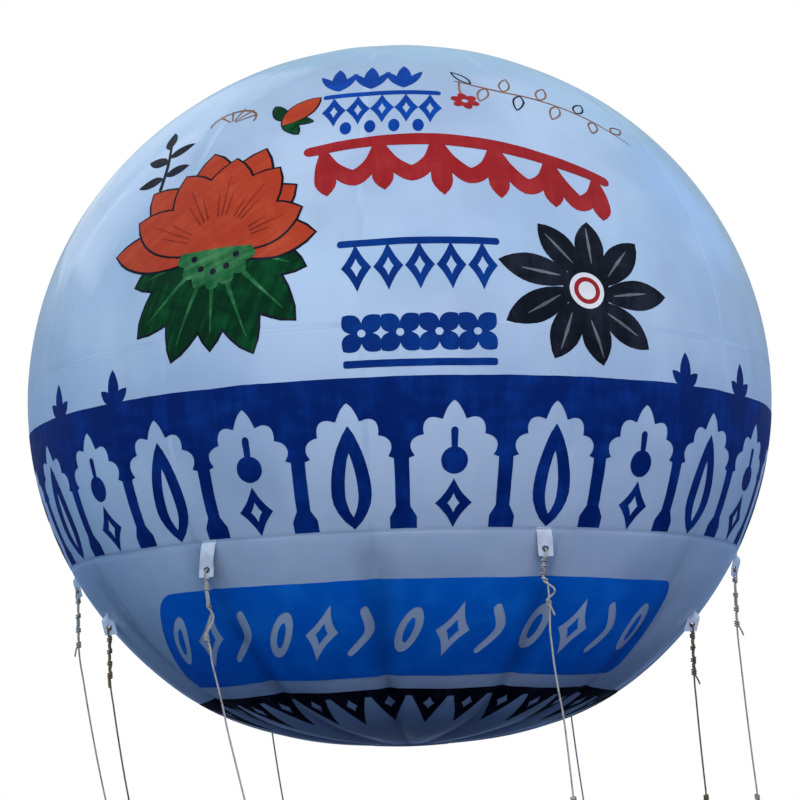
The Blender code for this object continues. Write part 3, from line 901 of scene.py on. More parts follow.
class Hanger:
    """One rope tab: its place on the part's own facet, its eyelet and the run of its strip."""

    def __init__(self, name, azimuth, row, start, free, twist, lean, doubled, lean_x, lean_y, bow):
        self.name = name
        self.twist = radians(twist)
        self.bow = bow
        self.doubled = doubled
        self.lean = Vector((lean_x, lean_y, 0))
        azimuth = radians(azimuth)
        self.root_azimuth = azimuth + radians(ROOT_SHIFTS.get(name, 0.0))
        upper = LOWER_SEAM - row * ROW_STEP
        self.facing, top, low, normal = facet(azimuth, upper, upper - ROW_STEP)
        side = sideways(self.facing)
        shift = (azimuth - self.facing) * top.xy.length
        pad_end = (top + (low - top).normalized() * (start + TAB_PAD) + side * shift
                   + normal * (0.0003 + TAB_THICKNESS / 2))
        bend_end = pad_end + (normal - outward(self.facing)) * TAB_BEND_RADIUS
        rise = 0.0 if row else TAB_RISE
        self.start_latitude = upper - (start - rise) / meridian_rate(upper)
        self.side = sideways(self.facing + self.twist)
        self.face = outward(self.facing + self.twist)
        run = side * math.tan(radians(lean)) - Z_AXIS
        self.eyelet = bend_end + run * (free - TAB_BELOW_EYELET)
        self.end_height = bend_end.z - free
        self.stations = self.strip_line()

    def strip_line(self):
        """Stations down the strip: length from the root, place, face and side."""
        out = outward(self.facing)
        stations = []
        along = 0.0
        for latitude in spread(self.start_latitude, self.start_latitude - STRIP_WELD / RADIUS, 0.0012):
            normal = surface_normal(self.root_azimuth, latitude)
            place = on_film(surface_point(self.root_azimuth, latitude), normal) + normal * STRIP_LIFT
            if stations:
                along += (place - stations[-1][1]).length
            stations.append((along, place, normal, sideways(self.root_azimuth)))
        self.pad = along
        centre = place + normal * STRIP_BEND
        turn = math.acos(normal.dot(out))
        for share in (0.2, 0.4, 0.6, 0.8, 1.0):
            way = (normal * (1 - share) + out * share).normalized()
            stations.append((along + STRIP_BEND * turn * share, centre - way * STRIP_BEND, way,
                             sideways(self.root_azimuth + (self.facing - self.root_azimuth) * share)))
        self.hang, first = stations[-1][:2]
        to_eyelet = first.z - self.eyelet.z
        drift = (self.eyelet - first) / to_eyelet
        for down in spread(0.0, first.z - self.end_height, 0.002)[1:]:
            angle = self.facing + self.twist * eased(down, 0.0, TAB_TWIST_LENGTH)
            bowed = sin(pi * min(1.0, down / to_eyelet)) * self.bow
            place = first + drift * down + outward(angle) * bowed
            stations.append((self.hang + down, place, outward(angle), sideways(angle)))
        self.length = stations[-1][0]
        self.eyelet_down = self.hang + to_eyelet
        return stations

    def station(self, down):
        """Place, face and side at a length down the strip."""
        down = min(max(down, 0.0), self.length)
        for first, second in zip(self.stations, self.stations[1:]):
            if down <= second[0]:
                share = (down - first[0]) / max(second[0] - first[0], 1e-9)
                return [a + (b - a) * share for a, b in zip(first[1:], second[1:])]
        return self.stations[-1][1:]

    def laid(self, across, down, lift):
        """A point of the strip, on the film at the pad and free below it, where it cups and curls."""
        place, face, side = self.station(down)
        raw = place + side * across
        hug = 1 - eased(down, self.pad, self.hang + 0.01)
        if hug > 0:
            raw += face * (on_film(raw, face) + face * STRIP_LIFT - raw).dot(face) * hug
        from_eyelet = hypot(across, down - self.eyelet_down)
        loose = eased(down, self.hang, self.hang + 0.03) * (1 - math.exp(-(from_eyelet / 0.026) ** 2))
        number = len(self.name)
        cup = (across / TAB_WIDTH * 2) ** 2 * (0.0016 if number % 2 else -0.0014)
        curl = sin(across * 70 + number) * 0.0010 + across * 0.05 * sin(down * 45 + number)
        return raw + face * (lift + (cup + curl) * loose)


def strip_outline(width, top, bottom, corner, slant):
    """A strip's outline on its own plan: across, and down as minus."""
    return [(x + slant * y, y) for x, y in rounded_bar(-width / 2, -bottom, width / 2, -top, corner)]


def make_strip(hanger):
    """The folded strip: two plies with a hole through both, welded to the film at its pad."""
    points = []
    faces = []
    plan = []
    askew = hanger.name == "front_left"
    wide = TAB_WIDTH - PLY_INSET
    front = strip_outline(wide, 0.0, hanger.length, 0.004, 0.0)
    back = strip_outline(wide - PLY_INSET, PLY_INSET, hanger.length - PLY_INSET, 0.005,
                         0.06 if askew else -0.010)
    for lift, outline in ((PLY_LIFT, front), (-PLY_LIFT, back)):
        hole = ellipse(0.0, -hanger.eyelet_down, BORE_RADIUS + HOLE_MARGIN, count=28)
        sheet = cut_sheet([outline], [hole], STRIP_STEP)
        base = len(points)
        for vertex in sheet.vertices:
            x, y = vertex.co.xy
            sag = 0.0
            if askew and lift < 0:
                sag = -0.006 * eased(-y, hanger.eyelet_down, hanger.length) * eased(x, 0.01, -0.03)
            points.append(hanger.laid(x, -y, lift + sag))
            plan += (x, y, 0.0)
        faces += [[base + i for i in polygon.vertices] for polygon in sheet.polygons]
        bpy.data.meshes.remove(sheet)
    mesh = new_mesh(points, faces, material=strip_cloth)
    mesh.attributes.new("plan", "FLOAT_VECTOR", "POINT").data.foreach_set("vector", plan)
    keep(finished(f"tab_strip_{hanger.name}", mesh, wall=PLY, wall_side=0.0), "tab", f"tab_{hanger.name}")


def make_rolled_eyelet(hanger):
    """A rolled eyelet: a barrel, a domed rim at the front and a flatter washer behind."""
    seat = 2 * PLY_LIFT + PLY / 2 - 0.0006
    middle = (BORE_RADIUS + FLANGE_RADIUS) / 2
    half = (FLANGE_RADIUS - BORE_RADIUS) / 2
    profile = [(BORE_RADIUS, 0.0)]
    for i in range(13):
        angle = pi - pi * i / 12
        profile.append((middle + half * cos(angle), seat + RIM_DOME * sin(angle) ** 0.7))
    profile += [(FLANGE_RADIUS - 0.0006, seat - 0.0002), (BORE_RADIUS + 0.0010, seat - 0.0002),
                (BORE_RADIUS + 0.0009, -seat + 0.0002), (FLANGE_RADIUS - 0.0002, -seat + 0.0002)]
    for i in range(9):
        angle = pi * i / 8
        profile.append((middle + half * cos(angle), -seat - WASHER_DOME * sin(angle) ** 0.7))
    points = [hanger.eyelet + between(hanger.side, Z_AXIS, tau * i / RIM_SIDES) * radius
              + hanger.face * height for radius, height in profile for i in range(RIM_SIDES)]
    mesh = new_mesh(points, grid_faces(RIM_SIDES, len(profile), ring=True, loop=True), material=brass)
    keep(add_piece(f"eyelet_rim_{hanger.name}", mesh, 50), "eyelet", f"eyelet_{hanger.name}")


class Tether:
    """One tether rope: foot loop, single run, the standing part, the eyelet and the hitches."""

    def __init__(self, hanger):
        self.hanger = hanger
        eye = hanger.eyelet
        self.arc_centre = eye - Z_AXIS * (BORE_RADIUS + LOOP_DROP)
        top = eye - Z_AXIS * (BORE_RADIUS + LOOP_DROP + LOOP_LENGTH - KNOT_HALF_LENGTH)
        single = top - Z_AXIS * (hanger.doubled + KNOT_HALF_LENGTH)
        height = single.z - (FOOT_KNOT_HEIGHT + 2 * KNOT_HALF_LENGTH)
        self.foot = Vector((single.x, single.y, 0)) + hanger.lean * height
        self.foot.z = FOOT_KNOT_HEIGHT
        if hanger.name in FRONT_LINES:
            line = [Vector((x, eye.y, z)) for x, z in FRONT_LINES[hanger.name]]
            self.knots = FRONT_KNOTS[hanger.name]
        else:
            line = [self.arc_centre, top, single]
            line += [single + hanger.lean * height * (0.75 * t + 0.25 * t * t) - Z_AXIS * height * t
                     for t in (0.2, 0.4, 0.6, 0.8)]
            spacing = (hanger.doubled - 2 * KNOT_HALF_LENGTH) / (len(KNOT_TURNS) - 1)
            middles = [top.z - KNOT_HALF_LENGTH - spacing * i for i in range(len(KNOT_TURNS))]
            self.knots = [(z + TURN_HALF_PITCH * n, z - TURN_HALF_PITCH * n, n)
                          for z, n in zip(middles, KNOT_TURNS)]
        ends = [self.foot + Z_AXIS * 0.026, self.foot, self.foot - Z_AXIS * 0.02]
        self.line = curve_through(line + ends)

    def centre(self, height):
        for above, below in zip(self.line, self.line[1:]):
            if height >= below.z:
                share = (above.z - height) / max(above.z - below.z, 1e-9)
                return above + (below - above) * share
        return self.line[-1]

    def way(self, angle):
        return between(self.hanger.face, self.hanger.side, angle)

    def lane(self, height):
        """Half the space between the two parts: wider where they pass the strip's end."""
        end = self.hanger.end_height
        return LANE + (LOOP_BEND - LANE) * eased(height, end - 0.014, end - 0.002)

    def standing_reach(self, height):
        """How far the standing part lies off the rope's middle line: nothing inside a knot."""
        held = 0.0
        for top, bottom, _ in self.knots:
            above = eased(height, top, top + 0.010)
            held = max(held, min(1 - above, eased(height, bottom - 0.010, bottom)))
        if height < self.knots[-1][1]:
            held = 1.0
        return self.lane(height) * (1 - held)

    def lane_angle(self, height):
        return tau * sum(turns for top, bottom, turns in self.knots if height < (top + bottom) / 2)

    def standing(self, height):
        return self.centre(height) - self.way(self.lane_angle(height)) * self.standing_reach(height)

    def working(self, height):
        reach = max(self.lane(height), COIL - self.standing_reach(height))
        place = self.centre(height) + self.way(self.lane_angle(height)) * reach
        high, low, out = BULGES.get(self.hanger.name, (0.0, 0.0, 0.0))
        if low < height < high:
            share = sin(pi * (high - height) / (high - low)) ** 1.3
            place += Vector((1, -0.25, 0)) * out * share
        return place

    def path(self):
        """The whole rope, from the tail of its foot knot to the tail of its last hitch."""
        down_way = [self.working(z) for z in spread(self.arc_centre.z, self.knots[0][0], LINE_STEP)]
        for index, (top, bottom, turns) in enumerate(self.knots):
            first = self.lane_angle(top)
            steps = round(turns * TURN_STEPS)
            for i in range(1, steps + 1):
                angle = first + tau * turns * i / steps
                tilt = HITCH_TILT * sin(angle + index)
                down_way.append(self.centre(top + (bottom - top) * i / steps) + self.way(angle) * COIL
                                + Z_AXIS * tilt)
            if index + 1 < len(self.knots):
                below = self.knots[index + 1][0]
                down_way += [self.working(z) for z in spread(bottom, below, LINE_STEP)[1:]]
        last = first + tau * turns
        tail = [down_way[-1] + self.way(last + 0.9 * t) * 0.010 * t + self.way(last + 0.5) * 0.012 * t * t
                - Z_AXIS * (0.040 * t * t + 0.004 * t) for t in (0.2, 0.4, 0.6, 0.8, 1.0)]
        over = [self.arc_centre + between(-self.hanger.face, Z_AXIS, pi * i / 14) * LOOP_BEND
                for i in range(1, 14)]
        up_way = [self.standing(z) for z in spread(self.foot.z, self.arc_centre.z, 0.004)]
        return self.foot_path() + up_way + over + down_way + tail

    def foot_path(self):
        """Tail, three turns round the rope, and the tie loop, ending under the foot knot."""
        side = self.hanger.side
        face = self.hanger.face
        foot = self.foot
        half = FOOT_HALF_PITCH * FOOT_TURNS
        turns = coil(foot, face, side, pi / 2, FOOT_TURNS, FOOT_TURNS * TURN_STEPS, COIL, half, -half)
        tail = [turns[0] + side * 0.012 * t - face * 0.020 * t + Z_AXIS * (0.004 * t - 0.016 * t * t)
                for t in (1.0, 0.8, 0.6, 0.4, 0.2)]
        wide = FOOT_LOOP_HALF_WIDTH
        middle = Vector((foot.x, foot.y, FOOT_LOOP_BOTTOM + ROPE_RADIUS + wide))
        loop = [turns[-1], *offset_points(foot, side, face, [(0.75 * wide, 0, -0.040)])]
        loop += [middle + between(side, -Z_AXIS, pi * i / 4) * wide for i in range(5)]
        loop += offset_points(foot, side, face, [(-0.60 * wide, 0, -0.038), (-0.10 * wide, 0, -0.020),
                                                 (0, 0, 0)])
        return tail + turns + curve_through(loop, 8)[1:-1]


def laid_cord(name, path, radius, lay, step, material):
    """Three strands laid round a path, as one piece."""
    edges = [(i, i + 1) for i in range(len(path) - 1)]
    return finished(name, new_mesh(path, edges=edges), ROPE, {
        "Rope radius": radius, "Lay length": lay, "Step": step, "Material": material})


strip_cloth = cloth_material("Coated tab cloth", (208, 220, 238), (170, 182, 200))
brass = brass_material()
pale_rope = rope_material("Pale tether cord", (206, 207, 204), (156, 155, 149), (120, 114, 102))
brown_rope = rope_material("Weathered tether cord", (150, 134, 112), (96, 82, 64), (56, 46, 38))

for row in HANGERS:
    hanger = Hanger(*row)
    make_strip(hanger)
    make_rolled_eyelet(hanger)
    tether = laid_cord(f"tether_{hanger.name}", Tether(hanger).path(), ROPE_RADIUS, LAY_LENGTH, LAY_STEP,
                       brown_rope if hanger.name.startswith("low") else pale_rope)
    keep(tether, "rope", f"rope_{hanger.name}")

# Filling neck and its tie
NECK_AZIMUTH = radians(171.25)
NECK_FLANGE_RADIUS = 0.068
NECK_RADIUS = 0.050
NECK_TIE_RADIUS = 0.016
TIE_CORD_RADIUS = 0.0035
TIE_TURNS = 3
TIE_LAY_LENGTH = 0.022
TIE_LAY_STEP = 0.0022
PLEATS = 13
SLEEVE_WALL = 0.0012
NECK_PATCH_LIFT = 0.0018
NECK_PATCH_WALL = 0.0015


def make_neck():
    """The filling neck: its patch on the film, its gathered sleeve and the knotted cord round it."""
    facing, top, low, normal = facet(NECK_AZIMUTH, LOWER_SEAM - 2 * ROW_STEP, LOWER_SEAM - 3 * ROW_STEP)
    side = sideways(facing)
    out = outward(facing)
    root = (top + low) / 2
    bend = root + normal * NECK_RADIUS * 1.5
    places = [root, bend] + offset_points(bend, side, out, [
        (0, 0.022, -0.035), (0, 0.030, -0.080), (0, 0.030, -0.115), (0, 0.030, -0.140),
        (0, 0.030, -0.170), (0, 0.030, -0.215)])
    line = curve_through(places)
    radii = curve_through([NECK_RADIUS, NECK_RADIUS, 0.048, 0.038, NECK_TIE_RADIUS, NECK_TIE_RADIUS,
                           0.030, 0.040])
    sides = PLEATS * 8
    points = []
    for i, (place, radius) in enumerate(zip(line, radii)):
        tangent = (line[min(i + 1, len(line) - 1)] - line[max(i - 1, 0)]).normalized()
        second = tangent.cross(side).normalized()
        depth = radius * (0.015 + 0.13 * eased(i, 14, 40))
        for j in range(sides):
            angle = tau * j / sides
            fold = cos(PLEATS * angle + 0.5 * sin(i * 0.11))
            slack = 0.0022 * sin(3 * angle + i * 0.23) * (1 - eased(i, 24, 40) * 0.8)
            reach = radius - depth * 0.8 + fold * depth + slack
            points.append(place + between(side, second, angle) * reach)
    sleeve = new_mesh(points, grid_faces(sides, len(line), ring=True), material=patch_film)
    keep(finished("filling_sleeve", sleeve, wall=SLEEVE_WALL), "patch", "filling_neck")

    sheet = cut_sheet([ellipse(0, 0, NECK_FLANGE_RADIUS, count=64)], [], 0.012)
    up = normal.cross(side)
    points = [on_film(root + side * vertex.co.x + up * vertex.co.y, normal) + normal * NECK_PATCH_LIFT
              for vertex in sheet.vertices]
    faces = [list(polygon.vertices) for polygon in sheet.polygons]
    patch = new_mesh(points, faces, material=patch_film)
    keep(finished("neck_patch", patch, wall=NECK_PATCH_WALL), "patch")

    middle = (places[4] + places[5]) / 2
    reach = NECK_TIE_RADIUS + TIE_CORD_RADIUS
    half = TIE_TURNS * TIE_CORD_RADIUS
    turns = coil(middle, out, side, 0.0, TIE_TURNS, TIE_TURNS * 36, reach, half, -half)
    knot_at = middle + out * (reach + 0.009)
    first_tail = offset_points(knot_at, side, out, [(0.014, 0.004, -0.085), (0.010, 0.004, -0.050),
                                                    (0.004, 0.001, -0.016), (0, 0, 0.004)])
    knot = coil(knot_at, out, side, pi, 1.75, 45, 0.0066, 0.002, -0.012)
    second_tail = offset_points(knot[-1], side, out, [(-0.008, 0, -0.018), (-0.013, 0.004, -0.045),
                                                      (-0.012, 0.006, -0.070)])
    path = (curve_through([*first_tail, turns[0]], 8)[:-1] + turns
            + curve_through([turns[-1], knot[0]], 3)[1:-1] + knot
            + curve_through([knot[-1], *second_tail], 8)[1:])
    tie_cord = rope_material("Neck tie cord", (176, 164, 138), (120, 106, 84), (84, 70, 54))
    keep(laid_cord("neck_tie_cord", path, TIE_CORD_RADIUS, TIE_LAY_LENGTH, TIE_LAY_STEP, tie_cord),
         "cord", "neck_tie")


make_neck()

# Enamels
navy = enamel_material("Navy enamel", (1, 35, 108), (10, 58, 146))
blue = enamel_material("Bright blue enamel", (2, 105, 218), (24, 132, 240), 0.15, cover=0.50)
royal = enamel_material("Royal blue enamel", (2, 46, 124), (10, 64, 148))
clear_blue = enamel_material("Clear blue enamel", (0, 60, 152), (6, 82, 182))
orange = enamel_material("Orange enamel", (178, 60, 37), (196, 84, 56), 0.5, 55)
green = enamel_material("Green enamel", (0, 46, 22), (16, 90, 46), 0.5, 20)
light_green = enamel_material("Light green enamel", (22, 92, 50), (84, 150, 98), 0.5, 70)
red = enamel_material("Red enamel", (154, 34, 39), (172, 52, 54), 0.4)
rust = enamel_material("Rust enamel", (124, 42, 26), (178, 60, 37))
black = enamel_material("Black enamel", (13, 16, 27), (42, 46, 62))
grey = enamel_material("Grey enamel", (92, 96, 106), (140, 144, 152))
brown = enamel_material("Brown enamel", (134, 92, 70), (176, 134, 104))
white = enamel_material("White enamel", (226, 230, 236), (244, 246, 250))

# Painted frieze, panel and lower row, laid along the parallels
BAYS = 24
BAY = CIRCUMFERENCE / BAYS
BAND_TOP = -0.150
BAND_BOTTOM = -0.852
PILLAR = 0.068
ARCH_SPRING = -0.520
ARCH_APEX = -0.262
FOOT = 0.030


def girdle(bottom, top):
    """A band right round the envelope."""
    half = CIRCUMFERENCE / 2
    return [(-half, bottom), (half, bottom), (half, top), (-half, top)]


def arch_opening(x):
    """The cusped opening of one bay, open at the bottom between two pillars with flared feet."""
    half = (BAY - PILLAR) / 2
    outline = [(x - half + FOOT, BAND_BOTTOM - 0.02), (x + half - FOOT, BAND_BOTTOM - 0.02),
               (x + half - FOOT, BAND_BOTTOM + 0.055), (x + half, BAND_BOTTOM + 0.105),
               (x + half, ARCH_SPRING)]
    for i in range(1, 60):
        angle = pi * i / 60
        swell = 1 - 0.17 * (1 - abs(sin(5 * angle)))
        point = 0.20 * max(0.0, 1 - abs(angle - pi / 2) / 0.35)
        rise = (ARCH_APEX - ARCH_SPRING) * sin(angle) * swell * (1 + point) / 1.2
        outline.append((x + half * cos(angle) * swell, ARCH_SPRING + rise))
    return outline + [(x - half, ARCH_SPRING), (x - half, BAND_BOTTOM + 0.105),
                      (x - half + FOOT, BAND_BOTTOM + 0.055)]


bays = [(-BAYS / 2 + index + 0.5) * BAY for index in range(BAYS)]
painted("frieze_arcade", navy, 0, 0, [girdle(BAND_BOTTOM, BAND_TOP)], [arch_opening(x) for x in bays],
        rounded=0.0)

flames = []
flame_eyes = []
for index, x in enumerate(bays):
    if index % 2:
        flames.append(leaf(x, -0.850, pi / 2, 0.485, 0.190, 0.34))
        flame_eyes.append(leaf(x, -0.790, pi / 2, 0.300, 0.062, 0.34))
    else:
        flames += [lozenge(x, -0.735, 0.088, 0.118, 0.12), ellipse(x, -0.535, 0.062),
                   stroke([(x, -0.40), (x, -0.47)], [0.034, 0.030])]
        flame_eyes.append(lozenge(x, -0.735, 0.030, 0.048, 0.12))
painted("frieze_flames", navy, 0, 0, flames, flame_eyes, rounded=0.0)

finials = [leaf(number * BAY, BAND_TOP - 0.01, pi / 2 + turn, length, width, fullness)
           for number in (-10, -9, -4, -3, 3, 4, 9, 10)
           for turn, length, width, fullness in ((0.0, 0.165, 0.075, 0.45), (0.9, 0.115, 0.055, 0.5),
                                                 (-0.9, 0.115, 0.055, 0.5))]
painted("frieze_finials", navy, 0, 0, finials, rounded=0.0)

PANEL_LEFT, PANEL_RIGHT, PANEL_TOP, PANEL_BOTTOM = (radians(angle) * RADIUS
                                                    for angle in (-48.0, 55.4, -35.7, -52.9))
PANEL_MARKS = 13


def flared(outlines):
    """Slant the panel's marks with its flared ends and arch them with its upper side."""
    bent = []
    for outline in outlines:
        bent.append([])
        for x, y in outline:
            across = (x - PANEL_LEFT) / (PANEL_RIGHT - PANEL_LEFT)
            down = (PANEL_TOP - y) / (PANEL_TOP - PANEL_BOTTOM)
            flare = radians(3.2 * across - 18.0 * (1 - across)) * down
            arch = radians(1.3) * (2 * across - 1) ** 2 * (1 - down)
            bent[-1].append((x + RADIUS * flare, y + RADIUS * arch))
    return bent


y = PANEL_TOP * 0.54 + PANEL_BOTTOM * 0.46
marks = []
islands = []
for index in range(PANEL_MARKS):
    x = PANEL_LEFT + 0.04 + (PANEL_RIGHT - PANEL_LEFT - 0.08) * (index + 0.5) / PANEL_MARKS
    if index % 3 == 0:
        marks.append(ellipse(x, y, 0.068, 0.135))
        islands.append(ellipse(x, y, 0.024, 0.074))
    elif index % 3 == 1:
        marks.append(lozenge(x, y, 0.098, 0.165, 0.16))
        islands.append(lozenge(x, y, 0.036, 0.062, 0.10))
    else:
        marks.append(stroke([(x - 0.045, y + 0.125), (x + 0.025, y), (x - 0.045, y - 0.125)],
                            [0.044, 0.056, 0.044]))
panel = rounded_bar(PANEL_LEFT, PANEL_BOTTOM, PANEL_RIGHT, PANEL_TOP, 0.09)
painted("blue_panel", blue, 0, 0, flared([panel]), flared(marks), rounded=0.0, step=0.022)
painted("panel_islands", blue, 0, 0, flared(islands), rounded=0.0)

LOW_TOP = -1.790
LOW_BOTTOM = -2.150
LOW_BAYS = 32
width = CIRCUMFERENCE / LOW_BAYS
solids = [girdle(LOW_TOP - 0.060, LOW_TOP)]
holes = []
for index in range(LOW_BAYS):
    x = -CIRCUMFERENCE / 2 + (index + 0.5) * width
    half = width * 0.44
    solids.append([(x - half, LOW_TOP - 0.050), (x, LOW_BOTTOM), (x + half, LOW_TOP - 0.050)])
    holes.append(lozenge(x, LOW_TOP - 0.130, width * 0.15, 0.060, 0.1))
painted("low_zigzag", black, 0, 0, solids, holes, rounded=0.0)

# Upper emblem: a fan of pointed petals over leaves, in orange and green
EMBLEM = (-27.0, 17.2)


def grown(outlines, margin):
    """Outlines pushed outwards by a margin."""
    result = []
    for outline in map(anticlockwise, outlines):
        result.append([])
        for (ax, ay), (x, y), (bx, by) in zip(outline[-1:] + outline, outline, outline[1:] + outline[:1]):
            length = hypot(bx - ax, by - ay) or 1.0
            result[-1].append((x + (by - ay) / length * margin, y - (bx - ax) / length * margin))
    return result


def fan(y, fullness, rows):
    """Leaves from one foot: angle in degrees, length and width of each."""
    return [leaf(0.0, y, radians(angle), length, width, fullness) for angle, length, width in rows]


def ray(angle, near, far, y, widths):
    """A stroke along an angle in degrees, from one reach to another."""
    angle = radians(angle)
    return stroke([polar(angle, near, 0.0, y), polar(angle, far, 0.0, y)], widths)


back_petals = fan(-0.030, 0.58, ((76, 0.570, 0.25), (104, 0.590, 0.25), (43, 0.460, 0.23),
                                 (138, 0.600, 0.25), (7, 0.470, 0.20), (172, 0.610, 0.21)))
front_petals = fan(-0.030, 0.58, ((90, 0.510, 0.27), (61, 0.485, 0.25), (120, 0.530, 0.25),
                                  (26, 0.430, 0.22), (154, 0.545, 0.23)))
leaves = fan(-0.020, 0.50, ((-164, 0.46, 0.19), (-137, 0.56, 0.22), (-112, 0.57, 0.22), (-90, 0.50, 0.20),
                            (-68, 0.57, 0.22), (-43, 0.56, 0.22), (-16, 0.46, 0.19)))
collar = scallops(0.0, -0.030, 0.175, 0.030, 7, pi, tau)
veins = [ray(angle, 0.21, length, -0.02, [0.022, 0.005]) for angle, length in (
    (-164, 0.38), (-137, 0.48), (-112, 0.49), (-90, 0.42), (-68, 0.49), (-43, 0.48), (-16, 0.38))]
petal_lines = [ray(angle + away, 0.18, length * 0.78 if away else length, -0.03, [0.010, 0.004])
               for angle, length in ((26, 0.34), (61, 0.38), (90, 0.40), (120, 0.41), (154, 0.42))
               for away in (-7, 0, 7)]
collar_dots = [ellipse(*polar(radians(angle), 0.115, 0.0, -0.030), 0.016, count=16)
               for angle in (-160, -125, -90, -55, -20)]
painted("emblem_outline", black, *EMBLEM, grown(leaves, 0.012))
painted("emblem_leaves", green, *EMBLEM, leaves, layer=1)
painted("emblem_back_outline", black, *EMBLEM, grown(back_petals, 0.012), layer=3)
painted("emblem_back_petals", orange, *EMBLEM, back_petals, layer=4)
painted("emblem_petal_outline", black, *EMBLEM, grown(front_petals, 0.011), layer=5)
painted("emblem_front_petals", orange, *EMBLEM, front_petals, layer=6)
painted("emblem_collar", light_green, *EMBLEM, [collar], layer=7)
painted("emblem_veins", light_green, *EMBLEM, veins, layer=2, wobble=STEADY_HAND)
painted("emblem_petal_lines", rust, *EMBLEM, petal_lines, layer=7, wobble=STEADY_HAND)
painted("emblem_collar_dots", black, *EMBLEM, collar_dots, layer=8, wobble=FINE_HAND, step=FINE_STEP)

BUD = (-20.4, 40.6)
bud_leaves = fan(-0.020, 0.42, ((-10, 0.150, 0.060), (-50, 0.150, 0.060), (120, 0.150, 0.060)))
bud = fan(-0.060, 0.50, ((58, 0.250, 0.120),))
painted("bud_outline", black, *BUD, grown(bud_leaves + bud, 0.008))
painted("bud_leaves", green, *BUD, bud_leaves, layer=1)
painted("bud_petal", orange, *BUD, bud, layer=2)

sprig = [stroke([(0.06, -0.16), (0.02, 0.0), (-0.05, 0.15)], [0.022, 0.014])]
sprig += [leaf(x, y, radians(angle), length, 0.066) for x, y, angle, length in (
    (-0.05, 0.13, 115, 0.16), (-0.01, 0.06, 30, 0.15), (0.01, 0.02, 165, 0.17), (0.04, -0.07, 20, 0.14),
    (0.04, -0.09, 190, 0.16))]
painted("black_sprig", black, -44.0, 34.0, sprig)
fan_lines = [stroke([(0.125 * cos(radians(angle)), 0.09 * sin(radians(angle)))
                     for angle in range(-10, 200, 15)], [0.010, 0.014, 0.010])]
for angle in map(radians, (20, 50, 80, 110, 140)):
    fan_lines.append(stroke([polar(angle, 0.02, 0.0, -0.01), (0.125 * cos(angle), 0.10 * sin(angle))],
                            [0.006, 0.012]))
painted("fan_lines", brown, -32.5, 41.8, fan_lines, wobble=STEADY_HAND)

# Blue rows, red garland, sketched branch and black rosette
solids = [rounded_bar(-0.27, 0.046, 0.27, 0.084, 0.015)]
solids += [leaf(x, 0.112, pi / 2 + turn, length, width) for x in (-0.200, -0.050, 0.100)
           for turn, length, width in ((0.0, 0.250, 0.070), (0.44, 0.200, 0.050), (-0.44, 0.200, 0.050))]
solids += [lozenge(-0.22 + i * 0.11, -0.068, 0.055, 0.118, 0.10) for i in range(5)]
solids += [ellipse(-0.165 + i * 0.11, -0.208, 0.026, 0.046, count=20) for i in range(4)]
holes = [lozenge(-0.22 + i * 0.11, -0.072, 0.018, 0.046, 0.10) for i in range(5)]
painted("blue_row_one", clear_blue, -1.7, 43.6, solids, holes, wobble=STEADY_HAND)

garland = [stroke([(-0.65, 0.262), (-0.35, 0.268), (-0.05, 0.245), (0.25, 0.205), (0.50, 0.158),
                   (0.72, 0.105)], [0.062, 0.078, 0.078, 0.062])]
hangs = [(-0.60, 0.255, 0.285), (-0.34, 0.258, 0.300), (-0.08, 0.240, 0.330), (0.18, 0.208, 0.310),
         (0.44, 0.163, 0.280), (0.68, 0.110, 0.250)]
for (ax, ay, _), (bx, by, _) in zip(hangs, hangs[1:]):
    path = [(ax, ay), (ax + 0.045, ay - 0.130), ((ax + bx) / 2, (ay + by) / 2 - 0.205),
            (bx - 0.045, by - 0.130), (bx, by)]
    garland.append(stroke(path, [0.040, 0.070, 0.098, 0.070, 0.040]))
garland += [leaf(x, y - 0.005, -pi / 2, length, 0.098, 0.70) for x, y, length in hangs]
painted("red_garland", red, 10.4, 25.9, garland)

solids = [rounded_bar(-0.36, 0.105, 0.36, 0.140, 0.015)]
solids += [lozenge(-0.28 + i * 0.14, 0.0, 0.066, 0.118, 0.10) for i in range(5)]
holes = [lozenge(-0.28 + i * 0.14, 0.0, 0.024, 0.046, 0.10) for i in range(5)]
painted("blue_row_two", royal, 3.4, 11.5, solids, holes, wobble=STEADY_HAND)
centres = [-0.255 + i * 0.17 for i in range(4)]
solids = [leaf(x, 0.0, pi / 2 * i + pi / 4, 0.116, 0.086, 0.55) for x in centres for i in range(4)]
solids.append(rounded_bar(-0.34, -0.158, 0.34, -0.124, 0.012))
holes = [ellipse(x, 0.0, 0.018, count=16) for x in centres]
painted("blue_row_three", royal, 3.0, 1.6, solids, holes, wobble=STEADY_HAND)

BRANCH = (24.0, 42.0)
stem = [stroke([(-0.20, 0.24), (-0.05, 0.16), (0.18, 0.10), (0.42, 0.02), (0.64, -0.08)],
               [0.006, 0.014, 0.012, 0.010, 0.004]),
        stroke([(-0.18, 0.235), (-0.205, 0.16), (-0.215, 0.10)], [0.008, 0.012])]
branch_leaves = {black: ([], []), brown: ([], [])}
for index, (x, y, angle, length) in enumerate((
        (-0.13, 0.205, 110, 0.15), (-0.07, 0.170, 240, 0.15), (0.01, 0.143, 65, 0.17),
        (0.09, 0.122, 245, 0.16), (0.18, 0.100, 60, 0.17), (0.27, 0.073, 240, 0.16),
        (0.36, 0.043, 55, 0.15), (0.45, 0.008, 245, 0.13), (0.54, -0.033, 40, 0.13))):
    angle = radians(angle)
    outer, inner = branch_leaves[brown if index % 3 else black]
    outer.append(leaf(x, y, angle, length, 0.058))
    inner.append(leaf(*polar(angle, 0.012, x, y), angle, length - 0.026, 0.040))
flower = scallops(-0.215, 0.045, 0.045, 0.024, 6)
painted("branch_stem", brown, *BRANCH, stem, wobble=STEADY_HAND)
